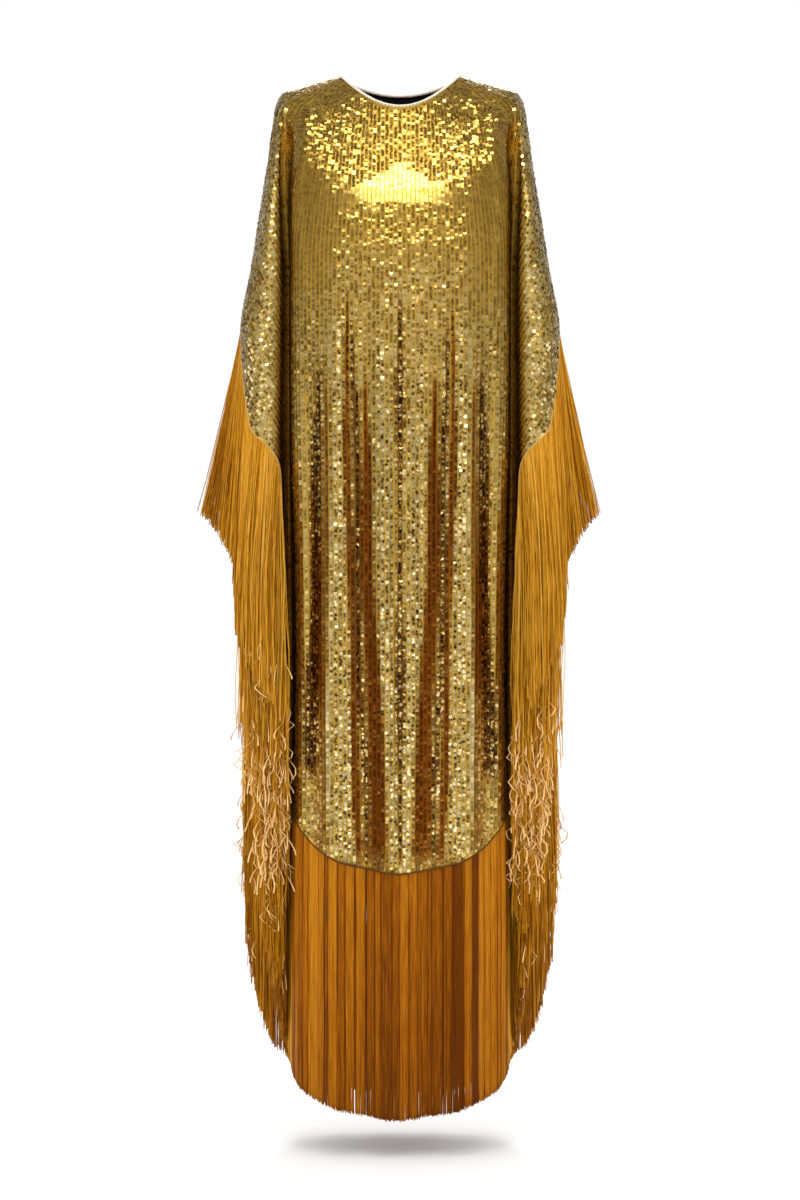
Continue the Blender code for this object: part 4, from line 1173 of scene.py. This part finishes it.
def neck_stitches(name, finish):
    """Short stitches under the binding, one every STITCH_PITCH along the neck edge."""
    ways = neck_ways()
    gone = lengths_along(ways[0])
    at = np.arange(0.002, gone[-1], STITCH_PITCH)
    line, ahead, inward, upward = (np.stack([np.interp(at, gone, axis) for axis in way.T], axis=-1)
                                   for way in ways)
    middle = line - inward * 0.0036 + upward * 0.0006
    reach, size = np.array(STITCH_ENDS).T
    ahead, inward, upward = (unit(way)[:, None] for way in (ahead, inward, upward))
    points = ovals(middle[:, None] + ahead * reach[:, None], inward, upward, STITCH_RADIUS,
                   STITCH_RADIUS, CORD_SIDES, size)
    return mesh_piece(name, points, tube_blocks(len(at), len(reach), CORD_SIDES), [finish],
                      {})


# ---------------- stage


def floor_and_lights():
    """A wide white floor and four soft boxes: two in front and the same two behind."""
    level = -1.60
    corners = [(-30, -12, level), (30, -12, level), (30, 40, level), (-30, 40, level)]
    mesh = bpy.data.meshes.new("studio_floor")
    mesh.from_pydata(corners, [], [(0, 1, 2, 3)])
    mesh.materials.append(FLOOR_PAINT)
    add_to_scene("studio_floor", mesh)
    # Away from the middle, height, target height, width, length and watts.
    boxes = (("high", 1.99, 2.18, -0.17, 0.78, 0.66, 19.0),
             ("key", 3.55, 1.86, -0.20, 1.70, 1.27, 32.0))
    for side, face in (("front_", -1), ("back_", 1)):
        for name, away, height, target, wide, tall, power in boxes:
            light = bpy.data.lights.new(side + name, "AREA")
            light.shape = "RECTANGLE"
            light.size, light.size_y = wide, tall
            light.energy = power
            light.color = linear("#fcfdff")[:3]
            lamp = add_to_scene(side + name, light)
            lamp.location = (0, face * away, height)
            way = Vector((0, face * 0.12, target)) - lamp.location
            lamp.rotation_euler = way.to_track_quat("-Z", "Y").to_euler()


def sky():
    """Even white round the studio; what the metal mirrors is dimmer, most of all at the sides."""
    world = bpy.data.worlds.new("studio")
    bpy.context.scene.world = world
    world.use_nodes = True
    tree = world.node_tree
    seen = tree.nodes["Background"]
    join(tree, seen, Color=linear("#ffffff"), Strength=1.0)
    way = node(tree, "ShaderNodeTexCoord").outputs["Generated"]
    parts = node(tree, "ShaderNodeSeparateXYZ", Vector=way)
    ahead = node(tree, "ShaderNodeMath", {"operation": "ABSOLUTE"}, n0=parts.outputs["Y"])
    grey = ramp(tree, ahead.outputs[0], [(0.0, "#a4a094"), (0.35, "#a09c90"), (0.70, "#a09c90"),
                                         (0.95, "#bebaae"), (1.0, "#c8c4b8")])
    mirrored = node(tree, "ShaderNodeBackground", Color=grey, Strength=1.0)
    ray = node(tree, "ShaderNodeLightPath").outputs["Is Glossy Ray"]
    both = node(tree, "ShaderNodeMixShader", n0=ray, n1=seen.outputs[0], n2=mirrored.outputs[0])
    join(tree, tree.nodes["World Output"], Surface=both.outputs[0])


def camera():
    """The photograph's view: level, 4.5 m in front, 1.8 m of height across the frame."""
    lens = bpy.data.cameras.new("camera")
    lens.sensor_width, lens.lens = 36.0, 90.0
    seat = add_to_scene("camera", lens)
    seat.location = (0.0, -4.5, -0.7845)
    seat.rotation_euler = (np.pi / 2, 0, 0)
    bpy.context.scene.camera = seat


# ---------------- build

HEM_YARN = silk_yarn("amber silk yarn of the hem", "#6a3004", "#a25a0a", "#cc841c", "#f0b060")
SIDE_YARN = silk_yarn("golden silk yarn of the sleeves", "#985608", "#cc8c18", "#eeb444", "#ffd08c")
FILM = sequin_film()
BACKING = knit_backing()
BRAID = heading_braid()
# The wrong side of the jersey: almost black brown, matt.
INSIDE = clouded("dark jersey inside", on_cloth, 500.0, "#140e09", "#241810", Roughness=0.85)
# Polyester satin, pale champagne, cut on the bias: smooth with a soft broad shine.
SATIN = clouded("champagne satin", in_space, 160.0, "#dcc9b0", "#f0e4d2", Roughness=0.38,
                Sheen_Weight=0.3)
# Cotton sewing threads, dull.
DARK_THREAD = clouded("dark sewing thread", in_space, 900.0, "#3a2412", "#5c3c1c", Roughness=0.8)
GOLD_THREAD = clouded("gold overlock thread", in_space, 900.0, "#7a5618", "#a87e34", Roughness=0.8)
# Matt white paint with a faint glow of its own, so that the floor runs into the white behind.
FLOOR_PAINT = clouded("matt white floor", in_space, 1.5, "#fbfbfa", "#fefefd", Roughness=0.9,
                      Specular_IOR_Level=0.0, Emission_Color=linear("#ffffff"),
                      Emission_Strength=0.06)

for face, side in ((-1, "front"), (1, "back")):
    shell = cloth_shell(side + "_cloth", face, BACKING, INSIDE)
    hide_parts(side + "_panel")
    extras = [sequin_piece(side + "_sequins", face, FILM)]
    for part, start, end, yarn, pitch in (("hem", -HEM_SHARE, HEM_SHARE, HEM_YARN, HEM_PITCH),
                                          ("left", HEM_SHARE, 1.0, SIDE_YARN, SLEEVE_PITCH),
                                          ("right", -1.0, -HEM_SHARE, SIDE_YARN, SLEEVE_PITCH)):
        yarns = yarn_piece(side + "_" + part + "_yarns", start, end, face, yarn, pitch)
        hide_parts(side + "_" + part + "_fringe")
        extras.append(yarns)
    extras.append(braid_piece(side + "_fringe_heading", -1.0, 1.0, face, BRAID))

binding = neck_binding("satin_neck_binding", SATIN)
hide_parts("neck_binding")
stitches = neck_stitches("neck_stitches", DARK_THREAD)
for hand, way in (("left", 1), ("right", -1)):
    for seam, share, start, slot in (("over_arm", 1.0, 0.004, "front_sequin_cloth"),
                                     ("side", SEAM_SHARE, RING_END, "back_sequin_cloth")):
        end = float(edge_drop(np.array([share]), -1)[0]) - 0.004
        cord = seam_cord(hand + "_" + seam + "_seam", way * share, start, end, GOLD_THREAD)

floor_and_lights()
sky()
camera()
bpy.context.scene.view_settings.view_transform = "Standard"
